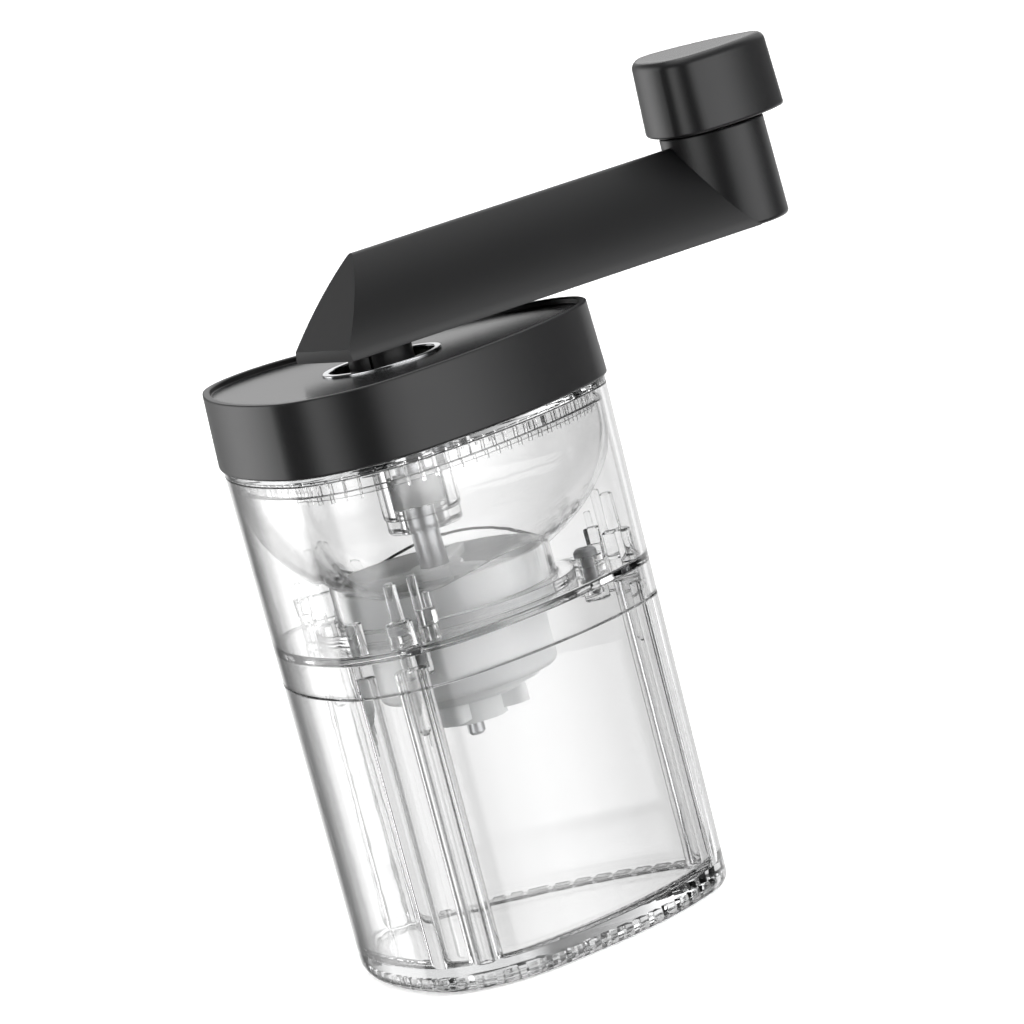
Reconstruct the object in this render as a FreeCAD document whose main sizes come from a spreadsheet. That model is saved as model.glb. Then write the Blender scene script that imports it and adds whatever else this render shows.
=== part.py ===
"""Hand coffee grinder with a crank, a clear hopper, a conical ceramic burr set and a clear container.

Millimetres, +Z up. The origin is the middle of the container's underside, on the shaft's axis.
One corner of the rounded triangle points along +X.
"""
import FreeCAD, Part
import math
import os
import Sketcher

DRIVING_SIZES = (
    ("corner_centre", 26.2, "from the axis to the centre of a corner arc of the plan"),
    ("corner_radius", 23.8, "corner arc of the plan at the lid's rim"),
    ("side_radius", 104.6, "side arc of the plan at the lid's rim"),
    ("container_height", 70.6, "outer wall of the container, up to the parting line"),
    ("spigot_height", 8.0, "rim of the container that the upper body slips over"),
    ("upper_height", 50.6, "from the parting line to the upper body's rim"),
    ("lid_height", 17.7, "outside of the black lid"),
    ("lid_flare", 0.6, "how far the lid's lower edge stands outside its rim"),
    ("upper_inset", 0.2, "upper body's rim, inside the lid's rim"),
    ("joint_inset", 0.9, "parting line, inside the lid's rim"),
    ("base_inset", 1.7, "container's foot, inside the lid's rim"),
    ("joint_gap", 0.35, "line between the container and the upper body"),
    ("upper_wall", 1.6, "wall of the upper body"),
    ("spigot_wall", 1.4, "wall of the container's rim"),
    ("slip_gap", 0.25, "gap between clear parts that slide or nest"),
    ("core_draft", 0.4, "extra inset of the container's core at its floor"),
    ("floor_top", 5.4, "inside floor of the container"),
    ("foot_radius", 3.4, "rounding of the container's lower edge"),
    ("foot_channel_inset", 2.8, "wall outside the channel under the floor"),
    ("foot_channel_width", 4.2, "channel under the floor"),
    ("foot_channel_depth", 3.2, "channel under the floor"),
    ("rail_centre", 43.2, "corner rail, from the axis"),
    ("rail_radius", 3.75, "outside of a corner rail"),
    ("rail_bore", 2.1, "bore radius of a corner rail"),
    ("rail_drop", 3.6, "top of the rails below the top of the rim"),
    ("side_rail_angle", 14.4, "side rail, from the corner"),
    ("side_rail_centre", 43.0, "side rail, from the axis"),
    ("side_rail_radius", 2.2, "side rail"),
    ("deck_thickness", 2.2, "deck of the upper body"),
    ("deck_hole", 27.0, "hole radius in the deck"),
    ("guide_pin_radius", 1.75, "pin below the deck, in the rail"),
    ("guide_pin_length", 19.0, "pin below the deck"),
    ("boss_radius", 3.1, "corner boss on the deck"),
    ("boss_height", 5.4, "corner boss on the deck"),
    ("post_radius_small", 1.3, "thin post on a corner boss"),
    ("post_height_small", 9.0, "thin post on a corner boss"),
    ("bowl_wall", 1.7, "wall of the hopper bowl"),
    ("bowl_rim_drop", 2.9, "top of the bowl below the upper body's rim"),
    ("bowl_straight", 2.4, "straight part of the bowl below its rim"),
    ("bowl_depth", 33.0, "height of the quarter ellipse that the bowl follows"),
    ("cup_radius", 26.5, "outside of the burr cup below the bowl"),
    ("cup_wall", 1.6, "wall of the burr cup"),
    ("cup_lip", 22.0, "hole radius in the bottom of the cup"),
    ("cup_drop", 2.6, "underside of the cup below the deck's underside"),
    ("cup_rounding", 2.3, "outer lower edge of the cup"),
    ("ear_reach", 35.0, "screws of the bowl, from the axis"),
    ("ear_radius", 4.0, "ear round a bowl screw"),
    ("ear_thickness", 1.6, "flange and ears of the bowl"),
    ("flange_radius", 30.5, "flange round the cup"),
    ("screw_radius", 1.4, "shank of the small screws"),
    ("screw_head_radius", 2.7, "head of the small screws"),
    ("screw_head_height", 1.8, "head of the small screws"),
    ("screw_clearance", 0.2, "round a screw's shank in the piece that it clamps"),
    ("screw_boss", 2.9, "radius of a boss that takes a screw"),
    ("bowl_screw_length", 9.0, "shank below the head"),
    ("holder_radius", 24.7, "burr holder in the cup"),
    ("holder_height", 12.4, "burr holder above the cup's floor"),
    ("holder_tube", 21.4, "outer radius of the holder's tube"),
    ("holder_tube_wall", 1.6, "wall of the holder's tube"),
    ("holder_tube_length", 13.5, "tube below the underside of the cup"),
    ("holder_rim", 1.4, "rim of the holder at its top"),
    ("spider_thickness", 2.6, "arms of the holder's bearing"),
    ("spider_arm", 3.2, "width of an arm"),
    ("spider_hub", 6.2, "hub of the holder's bearing"),
    ("running_gap", 0.08, "radial play of the shaft in its bearings"),
    ("outer_burr_radius", 19.7, "ceramic ring"),
    ("outer_burr_height", 12.1, "ceramic ring"),
    ("outer_burr_lift", 2.4, "ring above the lower end of the holder's tube"),
    ("outer_mouth", 17.2, "mouth radius of the ring"),
    ("outer_throat", 13.5, "narrowest radius of the ring"),
    ("outer_exit", 16.45, "radius at the lower end of the ring"),
    ("throat_height", 6.4, "throat above the lower end of the ring"),
    ("outer_tooth", 0.7, "depth of the ring's fine teeth"),
    ("inner_base", 16.4, "widest radius of the cone"),
    ("inner_waist", 12.9, "radius where the fine teeth end"),
    ("inner_waist_height", 7.6, "where the fine teeth end, above the cone's base"),
    ("inner_top", 8.2, "top radius of the cone"),
    ("inner_height", 21.6, "height of the cone"),
    ("inner_tooth", 1.0, "depth of the cone's fine teeth"),
    ("tooth_twist", 24.0, "turn of a fine tooth from base to waist, degrees"),
    ("blade_reach", 3.6, "how far a feed blade stands out of the cone"),
    ("blade_width", 1.7, "thickness of a feed blade"),
    ("blade_twist", 70.0, "turn of a feed blade, degrees"),
    ("carrier_radius", 16.9, "disc below the cone"),
    ("carrier_thickness", 1.5, "disc below the cone"),
    ("carrier_hub", 13.1, "step below the disc"),
    ("carrier_hub_height", 1.7, "step below the disc"),
    ("carrier_key", 3.0, "key of the carrier, up into the cone"),
    ("carrier_key_radius", 7.5, "key of the carrier"),
    ("nut_radius", 7.3, "body of the adjusting nut"),
    ("nut_height", 5.6, "body of the adjusting nut"),
    ("nut_lobe", 12.8, "reach of a lobe"),
    ("nut_lobe_width", 6.4, "width of a lobe"),
    ("nut_lobe_rise", 1.2, "underside of a lobe above the nut's"),
    ("nut_thread_length", 3.6, "threaded part of the nut"),
    ("adjust_travel", 2.0, "lift of the cone from coarse to fine"),
    ("thread_radius", 2.2, "thread at the end of the shaft"),
    ("thread_gap", 0.1, "radial play of the nut's thread"),
    ("thread_tip", 3.7, "thread below the nut"),
    ("shaft_radius", 3.5, "drive shaft"),
    ("shaft_flat", 2.8, "half the width across the shaft's flats"),
    ("flat_gap", 0.1, "play over the flats"),
    ("hex_half", 3.0, "half the width across the flats of the shaft's top"),
    ("hex_height", 12.5, "hexagon at the top of the shaft"),
    ("hex_gap", 0.08, "play of the hexagon in the hub"),
    ("spring_radius", 4.9, "mean radius of the spring"),
    ("spring_wire", 1.0, "wire of the spring"),
    ("spring_length", 9.2, "spring, in place"),
    ("spring_turns", 5.0, "turns of the spring"),
    ("spring_bore", 6.1, "bore in the cone for the spring"),
    ("washer_thickness", 0.8, "spring washer"),
    ("clip_thickness", 0.7, "clip on the shaft"),
    ("clip_radius", 5.4, "clip on the shaft"),
    ("clip_groove", 2.7, "bottom of the clip's groove"),
    ("lid_flange", 1.8, "clear flange between the lid and the upper body"),
    ("skirt_drop", 5.2, "ribbed skirt below the flange"),
    ("skirt_wall", 1.5, "wall of the skirt"),
    ("skirt_rib", 0.5, "how far a rib of the skirt stands out"),
    ("skirt_rib_width", 0.7, "rib of the skirt"),
    ("rib_root", 0.3, "how far a rib goes into the skirt"),
    ("tube_radius", 9.05, "bearing tube"),
    ("tube_bore", 6.0, "bore of the bearing tube"),
    ("tube_drop", 18.0, "bearing tube below the flange's underside"),
    ("bush_length", 10.5, "shaft bush"),
    ("bush_cap_radius", 8.7, "cap below the bearing tube"),
    ("bush_cap_height", 3.7, "cap below the bearing tube"),
    ("bush_cap_lip", 2.0, "spigot of the cap inside the tube"),
    ("fit_gap", 0.04, "play of a piece that is pushed in for good"),
    ("lid_wall", 2.0, "wall of the lid"),
    ("lid_rim", 1.8, "rim round the lid's top"),
    ("lid_recess", 1.4, "top of the lid below its rim"),
    ("lid_roof", 2.0, "roof of the lid"),
    ("lid_edge", 0.5, "rounding of the lid's outer edges"),
    ("ring_radius", 14.2, "bright ring"),
    ("ring_width", 1.3, "flange of the bright ring"),
    ("ring_sleeve", 0.8, "wall of the ring's sleeve"),
    ("ring_proud", 0.5, "ring above the lid's top"),
    ("lid_screw_reach", 34.0, "screws of the lid, from the axis"),
    ("lid_screw_length", 11.0, "shank below the head"),
    ("arm_clearance", 2.4, "arm above the lid's rim"),
    ("arm_height", 22.3, "arm from its underside to its ridge"),
    ("arm_half_width", 12.8, "half the width of the arm"),
    ("arm_foot_edge", 1.0, "upright foot of the arm's sides"),
    ("arm_side_radius", 44.0, "curve of the arm's sides"),
    ("arm_ridge", 1.3, "half the width of the ridge"),
    ("arm_ridge_radius", 1.85, "rounding of the ridge"),
    ("arm_tail", 14.6, "end of the arm behind the axis"),
    ("arm_band", 2.8, "upright band below the raked end"),
    ("arm_rake", 13.8, "how far the raked end leans to the knob"),
    ("arm_core_wall", 2.6, "wall round the recess under the arm"),
    ("arm_core_depth", 6.0, "recess under the arm"),
    ("crank_radius", 102.0, "from the shaft's axis to the knob's"),
    ("crank_angle", 14.6, "crank at rest, degrees from +X"),
    ("hub_radius", 7.65, "hub below the arm"),
    ("hub_drop", 12.0, "hub below the arm's underside"),
    ("hub_spigot", 6.0, "spigot radius in the arm"),
    ("hub_spigot_height", 7.0, "spigot in the arm"),
    ("hub_slit", 1.1, "slit in the hub's side"),
    ("hub_slit_angle", 223.0, "slit, from the crank"),
    ("hub_screw_length", 7.0, "shank of the hub's screw"),
    ("post_radius", 12.6, "post at its top"),
    ("post_foot_radius", 13.0, "post at its foot"),
    ("post_height", 24.3, "post above the arm's underside"),
    ("post_edge", 1.0, "rounding of the post's lower edge"),
    ("knob_gap", 0.6, "gap between the post and the knob"),
    ("knob_height", 18.3, "knob"),
    ("knob_centre", 10.8, "centre of a corner arc of the knob"),
    ("knob_corner", 7.6, "corner arc of the knob"),
    ("knob_side", 32.8, "side arc of the knob"),
    ("knob_draft", 0.7, "inset of the knob's top"),
    ("knob_edge", 2.6, "rounding of the knob's top edge"),
    ("knob_foot", 0.8, "rounding of the knob's lower edge"),
    ("knob_angle", 237.0, "knob at rest, degrees from +X"),
    ("knob_wall", 2.4, "wall of the knob"),
    ("knob_core_depth", 15.0, "recess under the knob"),
    ("knob_sleeve", 6.4, "sleeve in the knob round its pin"),
    ("pin_radius", 3.0, "knob pin"),
    ("pin_depth", 14.0, "knob pin below the post's top"),
    ("pin_height", 13.0, "knob pin above the post's top"),
    ("pin_head", 4.4, "head of the knob pin"),
    ("pin_head_height", 1.6, "head of the knob pin"),
    ("knob_washer_radius", 7.0, "washer between the post and the knob"),
    ("foot_cell", 3.3, "cell of the channel, along the plan"),
    ("side_boss_radius", 1.9, "lower boss beside a corner boss"),
    ("side_boss_rise", 1.5, "side boss above the corner boss"),
    ("outer_scallop", 1.2, "depth of a scallop in the ring's mouth"),
    ("scallop_twist", 16.0, "turn of a scallop, degrees"),
    ("carrier_key_width", 5.0, "key of the carrier, across"),
    ("key_gap", 0.15, "play of the key, and of pieces that only pass each other"),
    ("nut_angle", -15.0, "first lobe, degrees from +X"),
    ("washer_gap", 0.3, "play of the washer in the spring's bore"),
    ("arm_core_rib", 1.8, "rib between the recesses under the arm"),
)

FINE_TEETH = 20
OUTER_TEETH = 24
FEED_BLADES = 4
MOUTH_SCALLOPS = 6
NUT_LOBES = 3
CORNERS = 3
ARM_CORES = 4
FOOT_CELLS = (5, 11)
SKIRT_RIBS = (7, 15)
BOWL_STATIONS = (0.3, 0.55, 0.75, 0.88)
CUP_SHARE = 0.68
BLADE_REACH_SHARES = (0.25, 0.85, 1.0, 0.5)
TOOTH_SHARE = 0.8
SAW_LEAN = 0.5
SCALLOP_SHARE = 0.7
OUTER_TWIST_SHARE = 0.7

doc = FreeCAD.newDocument("CoffeeGrinder")
sheet = doc.addObject("Spreadsheet::Sheet", "Sizes")


class Size:
    """A number with the expression that ties it to the sheet."""

    def __init__(self, value, text):
        self.value = value
        self.text = text

    def _join(self, sign, other, value):
        return Size(value, f"({self.text} {sign} {of(other).text})")

    def __add__(self, other):
        return self._join("+", other, self.value + of(other).value)

    def __sub__(self, other):
        return self._join("-", other, self.value - of(other).value)

    def __mul__(self, other):
        return self._join("*", other, self.value * of(other).value)

    def __truediv__(self, other):
        return self._join("/", other, self.value / of(other).value)

    def __neg__(self):
        return Size(-self.value, f"(0 - {self.text})")

    def __radd__(self, other):
        return of(other) + self

    def __rsub__(self, other):
        return of(other) - self

    def __rmul__(self, other):
        return of(other) * self


def of(number):
    """Any plain number as a Size."""
    return number if isinstance(number, Size) else Size(float(number), repr(float(number)))


def root(size):
    return Size(math.sqrt(size.value), f"sqrt({size.text})")


def arc_tangent(rise, run):
    """The angle, in plain degrees."""
    return Size(math.degrees(math.atan2(rise.value, run.value)), f"(atan2({rise.text}; {run.text}) / 1 deg)")


def sine(degrees):
    return Size(math.sin(math.radians(of(degrees).value)), f"sin({of(degrees).text})")


def cosine(degrees):
    return Size(math.cos(math.radians(of(degrees).value)), f"cos({of(degrees).text})")


def fill_sheet():
    """Puts the driving sizes in the sheet, one a row: name, number, meaning."""
    for row, (alias, value, meaning) in enumerate(DRIVING_SIZES, start=1):
        sheet.set(f"A{row}", alias)
        sheet.set(f"B{row}", str(value))
        sheet.setAlias(f"B{row}", alias)
        sheet.set(f"C{row}", meaning)
    doc.recompute()
    return {alias: Size(value, f"Sizes.{alias}") for alias, value, meaning in DRIVING_SIZES}


S = fill_sheet()

# Levels, from the table up
PARTING = S["container_height"]
SPIGOT_TOP = PARTING + S["spigot_height"]
DECK_TOP = SPIGOT_TOP + S["deck_thickness"]
UPPER_RIM = PARTING + S["upper_height"]
LID_FOOT = UPPER_RIM + S["lid_flange"]
LID_RIM = LID_FOOT + S["lid_height"]
LID_FLOOR = LID_RIM - S["lid_recess"]
ARM_FOOT = LID_RIM + S["arm_clearance"]
ARM_RIDGE = ARM_FOOT + S["arm_height"]
POST_TOP = ARM_FOOT + S["post_height"]
KNOB_FOOT = POST_TOP + S["knob_gap"]
KNOB_TOP = KNOB_FOOT + S["knob_height"]
BOWL_RIM = UPPER_RIM - S["bowl_rim_drop"]
BOWL_SPRING = BOWL_RIM - S["bowl_straight"]
CUP_FOOT = SPIGOT_TOP - S["cup_drop"]
CUP_FLOOR = CUP_FOOT + S["cup_wall"]
HOLDER_TOP = CUP_FLOOR + S["holder_height"]
HOLDER_FOOT = CUP_FOOT - S["holder_tube_length"]
OUTER_BURR_FOOT = HOLDER_FOOT + S["outer_burr_lift"]
OUTER_BURR_TOP = OUTER_BURR_FOOT + S["outer_burr_height"]
INNER_BURR_FOOT = HOLDER_FOOT
INNER_BURR_TOP = INNER_BURR_FOOT + S["inner_height"]
CARRIER_FOOT = INNER_BURR_FOOT - S["carrier_thickness"] - S["carrier_hub_height"]
NUT_FOOT = CARRIER_FOOT - S["nut_height"]
SHAFT_FOOT = NUT_FOOT - S["thread_tip"]
SHOULDER = NUT_FOOT + S["nut_thread_length"] + S["adjust_travel"] + S["thread_gap"]
HUB_FOOT = ARM_FOOT - S["hub_drop"]
SHAFT_TOP = HUB_FOOT + S["hex_height"] - S["fit_gap"]
SPRING_TOP = INNER_BURR_TOP - S["fit_gap"]
SPRING_FOOT = SPRING_TOP - S["spring_length"]
CLIP_FOOT = SPRING_TOP + S["washer_thickness"]
HUB_SCREW_SEAT = HUB_FOOT + S["hex_height"] + S["screw_head_height"] + S["key_gap"]
TUBE_FOOT = UPPER_RIM - S["tube_drop"]
BUSH_CAP_FOOT = TUBE_FOOT - S["bush_cap_height"]
SPIGOT_INSET = S["joint_inset"] + S["upper_wall"] + S["slip_gap"]
CORE_INSET = SPIGOT_INSET + S["spigot_wall"]
BOWL_INSET = S["upper_inset"] + S["upper_wall"] + S["slip_gap"]
SKIRT_INSET = BOWL_INSET + S["bowl_wall"] + S["slip_gap"] + S["skirt_rib"]

sub_parts = []


def new_body(label, sub_part=True):
    """A sub-part, whose label is also its file's name, or a piece that only shapes one."""
    body = doc.addObject("PartDesign::Body", label)
    body.Label = label
    if sub_part:
        sub_parts.append(body)
    return body


def combined(kind, label, body, other):
    """Cuts or joins two bodies in one step; the result takes the body's place as sub-part."""
    result = doc.addObject(f"Part::{kind}", label)
    if kind == "Cut":
        result.Base, result.Tool = body, other
    else:
        result.Shapes = [body, other]
    doc.recompute()
    sub_parts[sub_parts.index(body)] = result
    result.Label = label
    return result


def sketch_on(body, name, plane="XY", height=None, turn=None):
    """A sketch on one of the body's own planes, lifted off it and turned in it."""
    sketch = body.newObject("Sketcher::SketchObject", name)
    origin_plane = [item for item in body.Origin.OriginFeatures if item.Role == f"{plane}_Plane"][0]
    sketch.AttachmentSupport = [(origin_plane, "")]
    sketch.MapMode = "FlatFace"
    if height is not None:
        sketch.setExpression("AttachmentOffset.Base.z", of(height).text)
    if turn is not None:
        sketch.setExpression("AttachmentOffset.Rotation.Angle", of(turn).text)
    return sketch


def bind(sketch, kind, *where):
    """A dimension: its last argument is a Size, and the constraint follows it."""
    size = of(where[-1])
    index = sketch.addConstraint(Sketcher.Constraint(kind, *where[:-1], size.value))
    sketch.setExpression(f"Constraints[{index}]", size.text)


def locate(sketch, item, point, x, y):
    """Fixes a point of the sketch at x and y from its origin."""
    bind(sketch, "DistanceX", -1, 1, item, point, x)
    bind(sketch, "DistanceY", -1, 1, item, point, y)


def circle(sketch, radius, x=0.0, y=0.0):
    place = FreeCAD.Vector(of(x).value, of(y).value, 0)
    item = sketch.addGeometry(Part.Circle(place, FreeCAD.Vector(0, 0, 1), of(radius).value))
    bind(sketch, "Radius", item, radius)
    locate(sketch, item, 3, x, y)


def arc_between(start, end, radius):
    """The short arc from start to end. A positive radius turns left, a negative one right."""
    middle = (start + end) * 0.5
    chord = end - start
    size = abs(radius)
    rise = math.sqrt(max(size * size - (chord.Length / 2) ** 2, 0.0))
    side = 1 if radius > 0 else -1
    normal = FreeCAD.Vector(-chord.y, chord.x, 0).normalize() * side
    centre = middle + normal * rise
    angles = [math.atan2(point.y - centre.y, point.x - centre.x) for point in (start, end)]
    first, last = angles if radius > 0 else (angles[1], angles[0])
    if last < first:
        last += 2 * math.pi
    return Part.ArcOfCircle(Part.Circle(centre, FreeCAD.Vector(0, 0, 1), size), first, last)


def trace(sketch, points):
    """A closed outline. Each point is x, y and, where an arc leads on from it, the arc's radius."""
    spots = [FreeCAD.Vector(of(point[0]).value, of(point[1]).value, 0) for point in points]
    ends = []
    for index, point in enumerate(points):
        start, end = spots[index], spots[(index + 1) % len(spots)]
        if len(point) == 3:
            radius = of(point[2])
            item = sketch.addGeometry(arc_between(start, end, radius.value))
            bind(sketch, "Radius", item, radius if radius.value > 0 else -radius)
            ends.append((item, 1, 2) if radius.value > 0 else (item, 2, 1))
        else:
            item = sketch.addGeometry(Part.LineSegment(start, end))
            ends.append((item, 1, 2))
    for index, point in enumerate(points):
        item, first, last = ends[index]
        following = ends[(index + 1) % len(ends)]
        sketch.addConstraint(Sketcher.Constraint("Coincident", item, last, following[0], following[1]))
        locate(sketch, item, first, point[0], point[1])


def box_outline(sketch, x0, x1, y0, y1):
    trace(sketch, [(x0, y0), (x1, y0), (x1, y1), (x0, y1)])


def rounded_triangle(sketch, centre, corner, side):
    """Three corner arcs, whose centres lie at one distance from the axis, and three side arcs."""
    c, r, s = centre.value, corner.value, side.value
    e = (math.sqrt(4 * (s - r) ** 2 - 3 * c * c) - c) / 2
    half = math.atan2(e * math.sin(math.pi / 3), c + e / 2)
    up = FreeCAD.Vector(0, 0, 1)
    third = 2 * math.pi / 3
    for index in range(CORNERS):
        a = index * third
        middle = FreeCAD.Vector(c * math.cos(a), c * math.sin(a), 0)
        sketch.addGeometry(Part.ArcOfCircle(Part.Circle(middle, up, r), a - half, a + half))
        b = a + third / 2
        middle = FreeCAD.Vector(-e * math.cos(b), -e * math.sin(b), 0)
        sketch.addGeometry(Part.ArcOfCircle(Part.Circle(middle, up, s), a + half, a + third - half))
    for index in range(2 * CORNERS):
        following = (index + 1) % (2 * CORNERS)
        sketch.addConstraint(Sketcher.Constraint("Tangent", index, 2, following, 1))
    bind(sketch, "Radius", 0, corner)
    bind(sketch, "Radius", 1, side)
    for index in (2, 4):
        sketch.addConstraint(Sketcher.Constraint("Equal", 0, index))
        sketch.addConstraint(Sketcher.Constraint("Equal", 1, index + 1))
        angle = 60.0 * index
        locate(sketch, index, 3, centre * cosine(angle), centre * sine(angle))
    locate(sketch, 0, 3, centre, 0.0)


def plan(body, name, height, inset, share=1.0):
    """The grinder's plan at a height, moved inwards by the inset and shrunk to a share of its size."""
    sketch = sketch_on(body, name, height=height)
    share = of(share)
    corner = (S["corner_radius"] - inset) * share
    side = (S["side_radius"] - inset) * share
    rounded_triangle(sketch, S["corner_centre"] * share, corner, side)
    return sketch


def feature(body, kind, name, **settings):
    item = body.newObject(f"PartDesign::{kind}", name)
    for key, value in settings.items():
        if isinstance(value, Size):
            item.setExpression(key, value.text)
        else:
            setattr(item, key, value)
    body.Tip = item
    doc.recompute()
    return item


def pad(body, name, sketch, length):
    return feature(body, "Pad", name, Profile=sketch, Length=of(length))


def pocket(body, name, sketch, length=None, up=True):
    """A cut from the sketch, upwards or downwards; right through where no length is given."""
    settings = {"Profile": sketch, "Reversed": up}
    if length is None:
        settings["Type"] = "ThroughAll"
    else:
        settings["Length"] = of(length)
    return feature(body, "Pocket", name, **settings)


def loft(body, name, sketches, ruled=True, cut=False):
    kind = "SubtractiveLoft" if cut else "AdditiveLoft"
    return feature(body, kind, name, Profile=sketches[0], Sections=sketches[1:], Ruled=ruled)


def axis(body, role="Z_Axis"):
    return [item for item in body.Origin.OriginFeatures if item.Role == role][0]


def turned(body, name, points, cut=False):
    """A section in the XZ plane, turned about Z."""
    sketch = sketch_on(body, name + "_section", plane="XZ")
    trace(sketch, points)
    kind = "Groove" if cut else "Revolution"
    return feature(body, kind, name, Profile=sketch, ReferenceAxis=(axis(body), [""]), Angle=360.0)


def ring(body, name, inner, outer, low, high, cut=False):
    points = [(inner, low), (outer, low), (outer, high), (inner, high)]
    return turned(body, name, points, cut=cut)


def spread(body, name, features, count):
    """Repeats features about the vertical axis."""
    item = feature(body, "PolarPattern", name, Originals=features, Axis=(axis(body), [""]),
                   Angle=360.0, Occurrences=count)
    body.Tip = item
    doc.recompute()
    return item


def edges_near(shape, test):
    """Names of the edges whose every point passes the test."""
    names = []
    for index, edge in enumerate(shape.Edges, start=1):
        points = [vertex.Point for vertex in edge.Vertexes] + [edge.CenterOfMass]
        if all(test(point) for point in points):
            names.append(f"Edge{index}")
    return names


def soften(body, name, base, test, radius, kind="Fillet"):
    size = {"Fillet": "Radius", "Chamfer": "Size"}[kind]
    names = edges_near(base.Shape, test)
    return feature(body, kind, name, Base=(base, names), **{size: of(radius)})


def at_level(height, slack=0.02):
    return lambda point: abs(point.z - of(height).value) < slack


def place(body, x=None, y=None, z=None, turn=None):
    for key, value in (("Base.x", x), ("Base.y", y), ("Base.z", z), ("Rotation.Angle", turn)):
        if value is not None:
            body.setExpression(f"Placement.{key}", of(value).text)


# Shared ways of making things

def corner_spot(reach, angle):
    return reach * cosine(angle), reach * sine(angle)


def corners(reach, offset=0.0):
    """Spots in the three corner directions, or turned from them by an offset."""
    return [corner_spot(of(reach), of(120.0 * index) + offset) for index in range(CORNERS)]


def round_columns(body, name, spots, low, high, radius):
    """Upright round columns at several spots, as one pad."""
    sketch = sketch_on(body, name + "_plan", height=low)
    for x, y in spots:
        circle(sketch, radius, x, y)
    return pad(body, name, sketch, of(high) - low)


def round_holes(body, name, spots, low, high, radius):
    sketch = sketch_on(body, name + "_plan", height=low)
    for x, y in spots:
        circle(sketch, radius, x, y)
    return pocket(body, name, sketch, of(high) - low)


def bars(body, name, low, high, x0, x1, half_width, count=CORNERS, first=0.0, cut=False):
    """Radial bars, evenly spread; each is its own pad or pocket."""
    for index in range(count):
        turn = of(first) + 360.0 / count * index
        sketch = sketch_on(body, f"{name}_plan_{index}", height=low, turn=turn)
        box_outline(sketch, x0, x1, -of(half_width), half_width)
        make = pocket if cut else pad
        make(body, f"{name}_{index}", sketch, of(high) - low)


def blocks_along_plan(label, height, depth, inset, width, reach, counts):
    """A row of small blocks all round the plan at an inset, evenly spaced on each of its arcs."""
    body = new_body(label, sub_part=False)
    body.AllowCompound = True
    centre, corner, side = S["corner_centre"], S["corner_radius"], S["side_radius"]
    back = (root((side - corner) * (side - corner) * 4.0 - centre * centre * 3.0) - centre) / 2.0
    half = arc_tangent(back * sine(60.0), centre + back / 2.0)
    for index in range(CORNERS):
        turn = 120.0 * index
        arcs = (
            ("corner", centre * cosine(turn), centre * sine(turn), corner - inset, turn - half, half * 2.0),
            ("side", -back * cosine(turn + 60.0), -back * sine(turn + 60.0), side - inset,
             turn + half, 120.0 - half * 2.0),
        )
        for (kind, x, y, radius, start, span), count in zip(arcs, counts):
            first = start + span / (2.0 * count)
            sketch = sketch_on(body, f"{label}_{kind}_plan_{index}", height=height, turn=first)
            sketch.setExpression("AttachmentOffset.Base.x", of(x).text)
            sketch.setExpression("AttachmentOffset.Base.y", of(y).text)
            box_outline(sketch, radius, radius + reach, -of(width) / 2.0, of(width) / 2.0)
            block = pad(body, f"{label}_{kind}_{index}", sketch, depth)
            feature(body, "PolarPattern", f"{label}_{kind}_row_{index}", Originals=[block], Refine=False,
                    Axis=(sketch, ["N_Axis"]), Angle=span * ((count - 1.0) / count), Occurrences=count)
    return body


def rounded(height, inset, radius, top):
    """Levels and insets round an edge, listed upwards: a quarter round in three steps."""
    steps = []
    for angle in (0.0, 30.0, 60.0, 90.0):
        rise = radius * (1.0 - sine(angle))
        steps.append((of(height) - rise if top else of(height) + rise, inset + radius * (1.0 - cosine(angle))))
    return steps if top else steps[::-1]


def stacked(body, name, outline, levels):
    """A solid through plans at several levels."""
    return loft(body, name, [outline(body, f"{name}_{index}", height, inset)
                             for index, (height, inset) in enumerate(levels)])


# Container

def make_container():
    body = new_body("container")
    foot = plan(body, "foot_plan", 0.0, S["base_inset"])
    parting = plan(body, "parting_plan", PARTING, S["joint_inset"])
    wall = loft(body, "outer_wall", [foot, parting])
    soften(body, "foot_rounding", wall, at_level(0.0), S["foot_radius"])
    pad(body, "rim", plan(body, "rim_plan", PARTING, SPIGOT_INSET), S["spigot_height"])
    core_low = plan(body, "core_low", S["floor_top"], CORE_INSET + S["core_draft"])
    loft(body, "core", [core_low, plan(body, "core_high", SPIGOT_TOP, CORE_INSET)], cut=True)
    rail_top = SPIGOT_TOP - S["rail_drop"]
    floor = S["floor_top"]
    round_columns(body, "rails", corners(S["rail_centre"]), floor, rail_top, S["rail_radius"])
    side_spots = corners(S["side_rail_centre"], -S["side_rail_angle"])
    round_columns(body, "side_rails", side_spots, floor, rail_top, S["side_rail_radius"])
    round_holes(body, "rail_bores", corners(S["rail_centre"]), floor, rail_top, S["rail_bore"])
    inner = S["base_inset"] + S["foot_channel_inset"] + S["foot_channel_width"]
    cells = blocks_along_plan("foot_cells", 0.0, S["foot_channel_depth"], inner, S["foot_cell"],
                              S["foot_channel_width"], FOOT_CELLS)
    body.Label = "container_shell"
    return combined("Cut", "container", body, cells)


# Upper body and what stands in it

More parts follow.
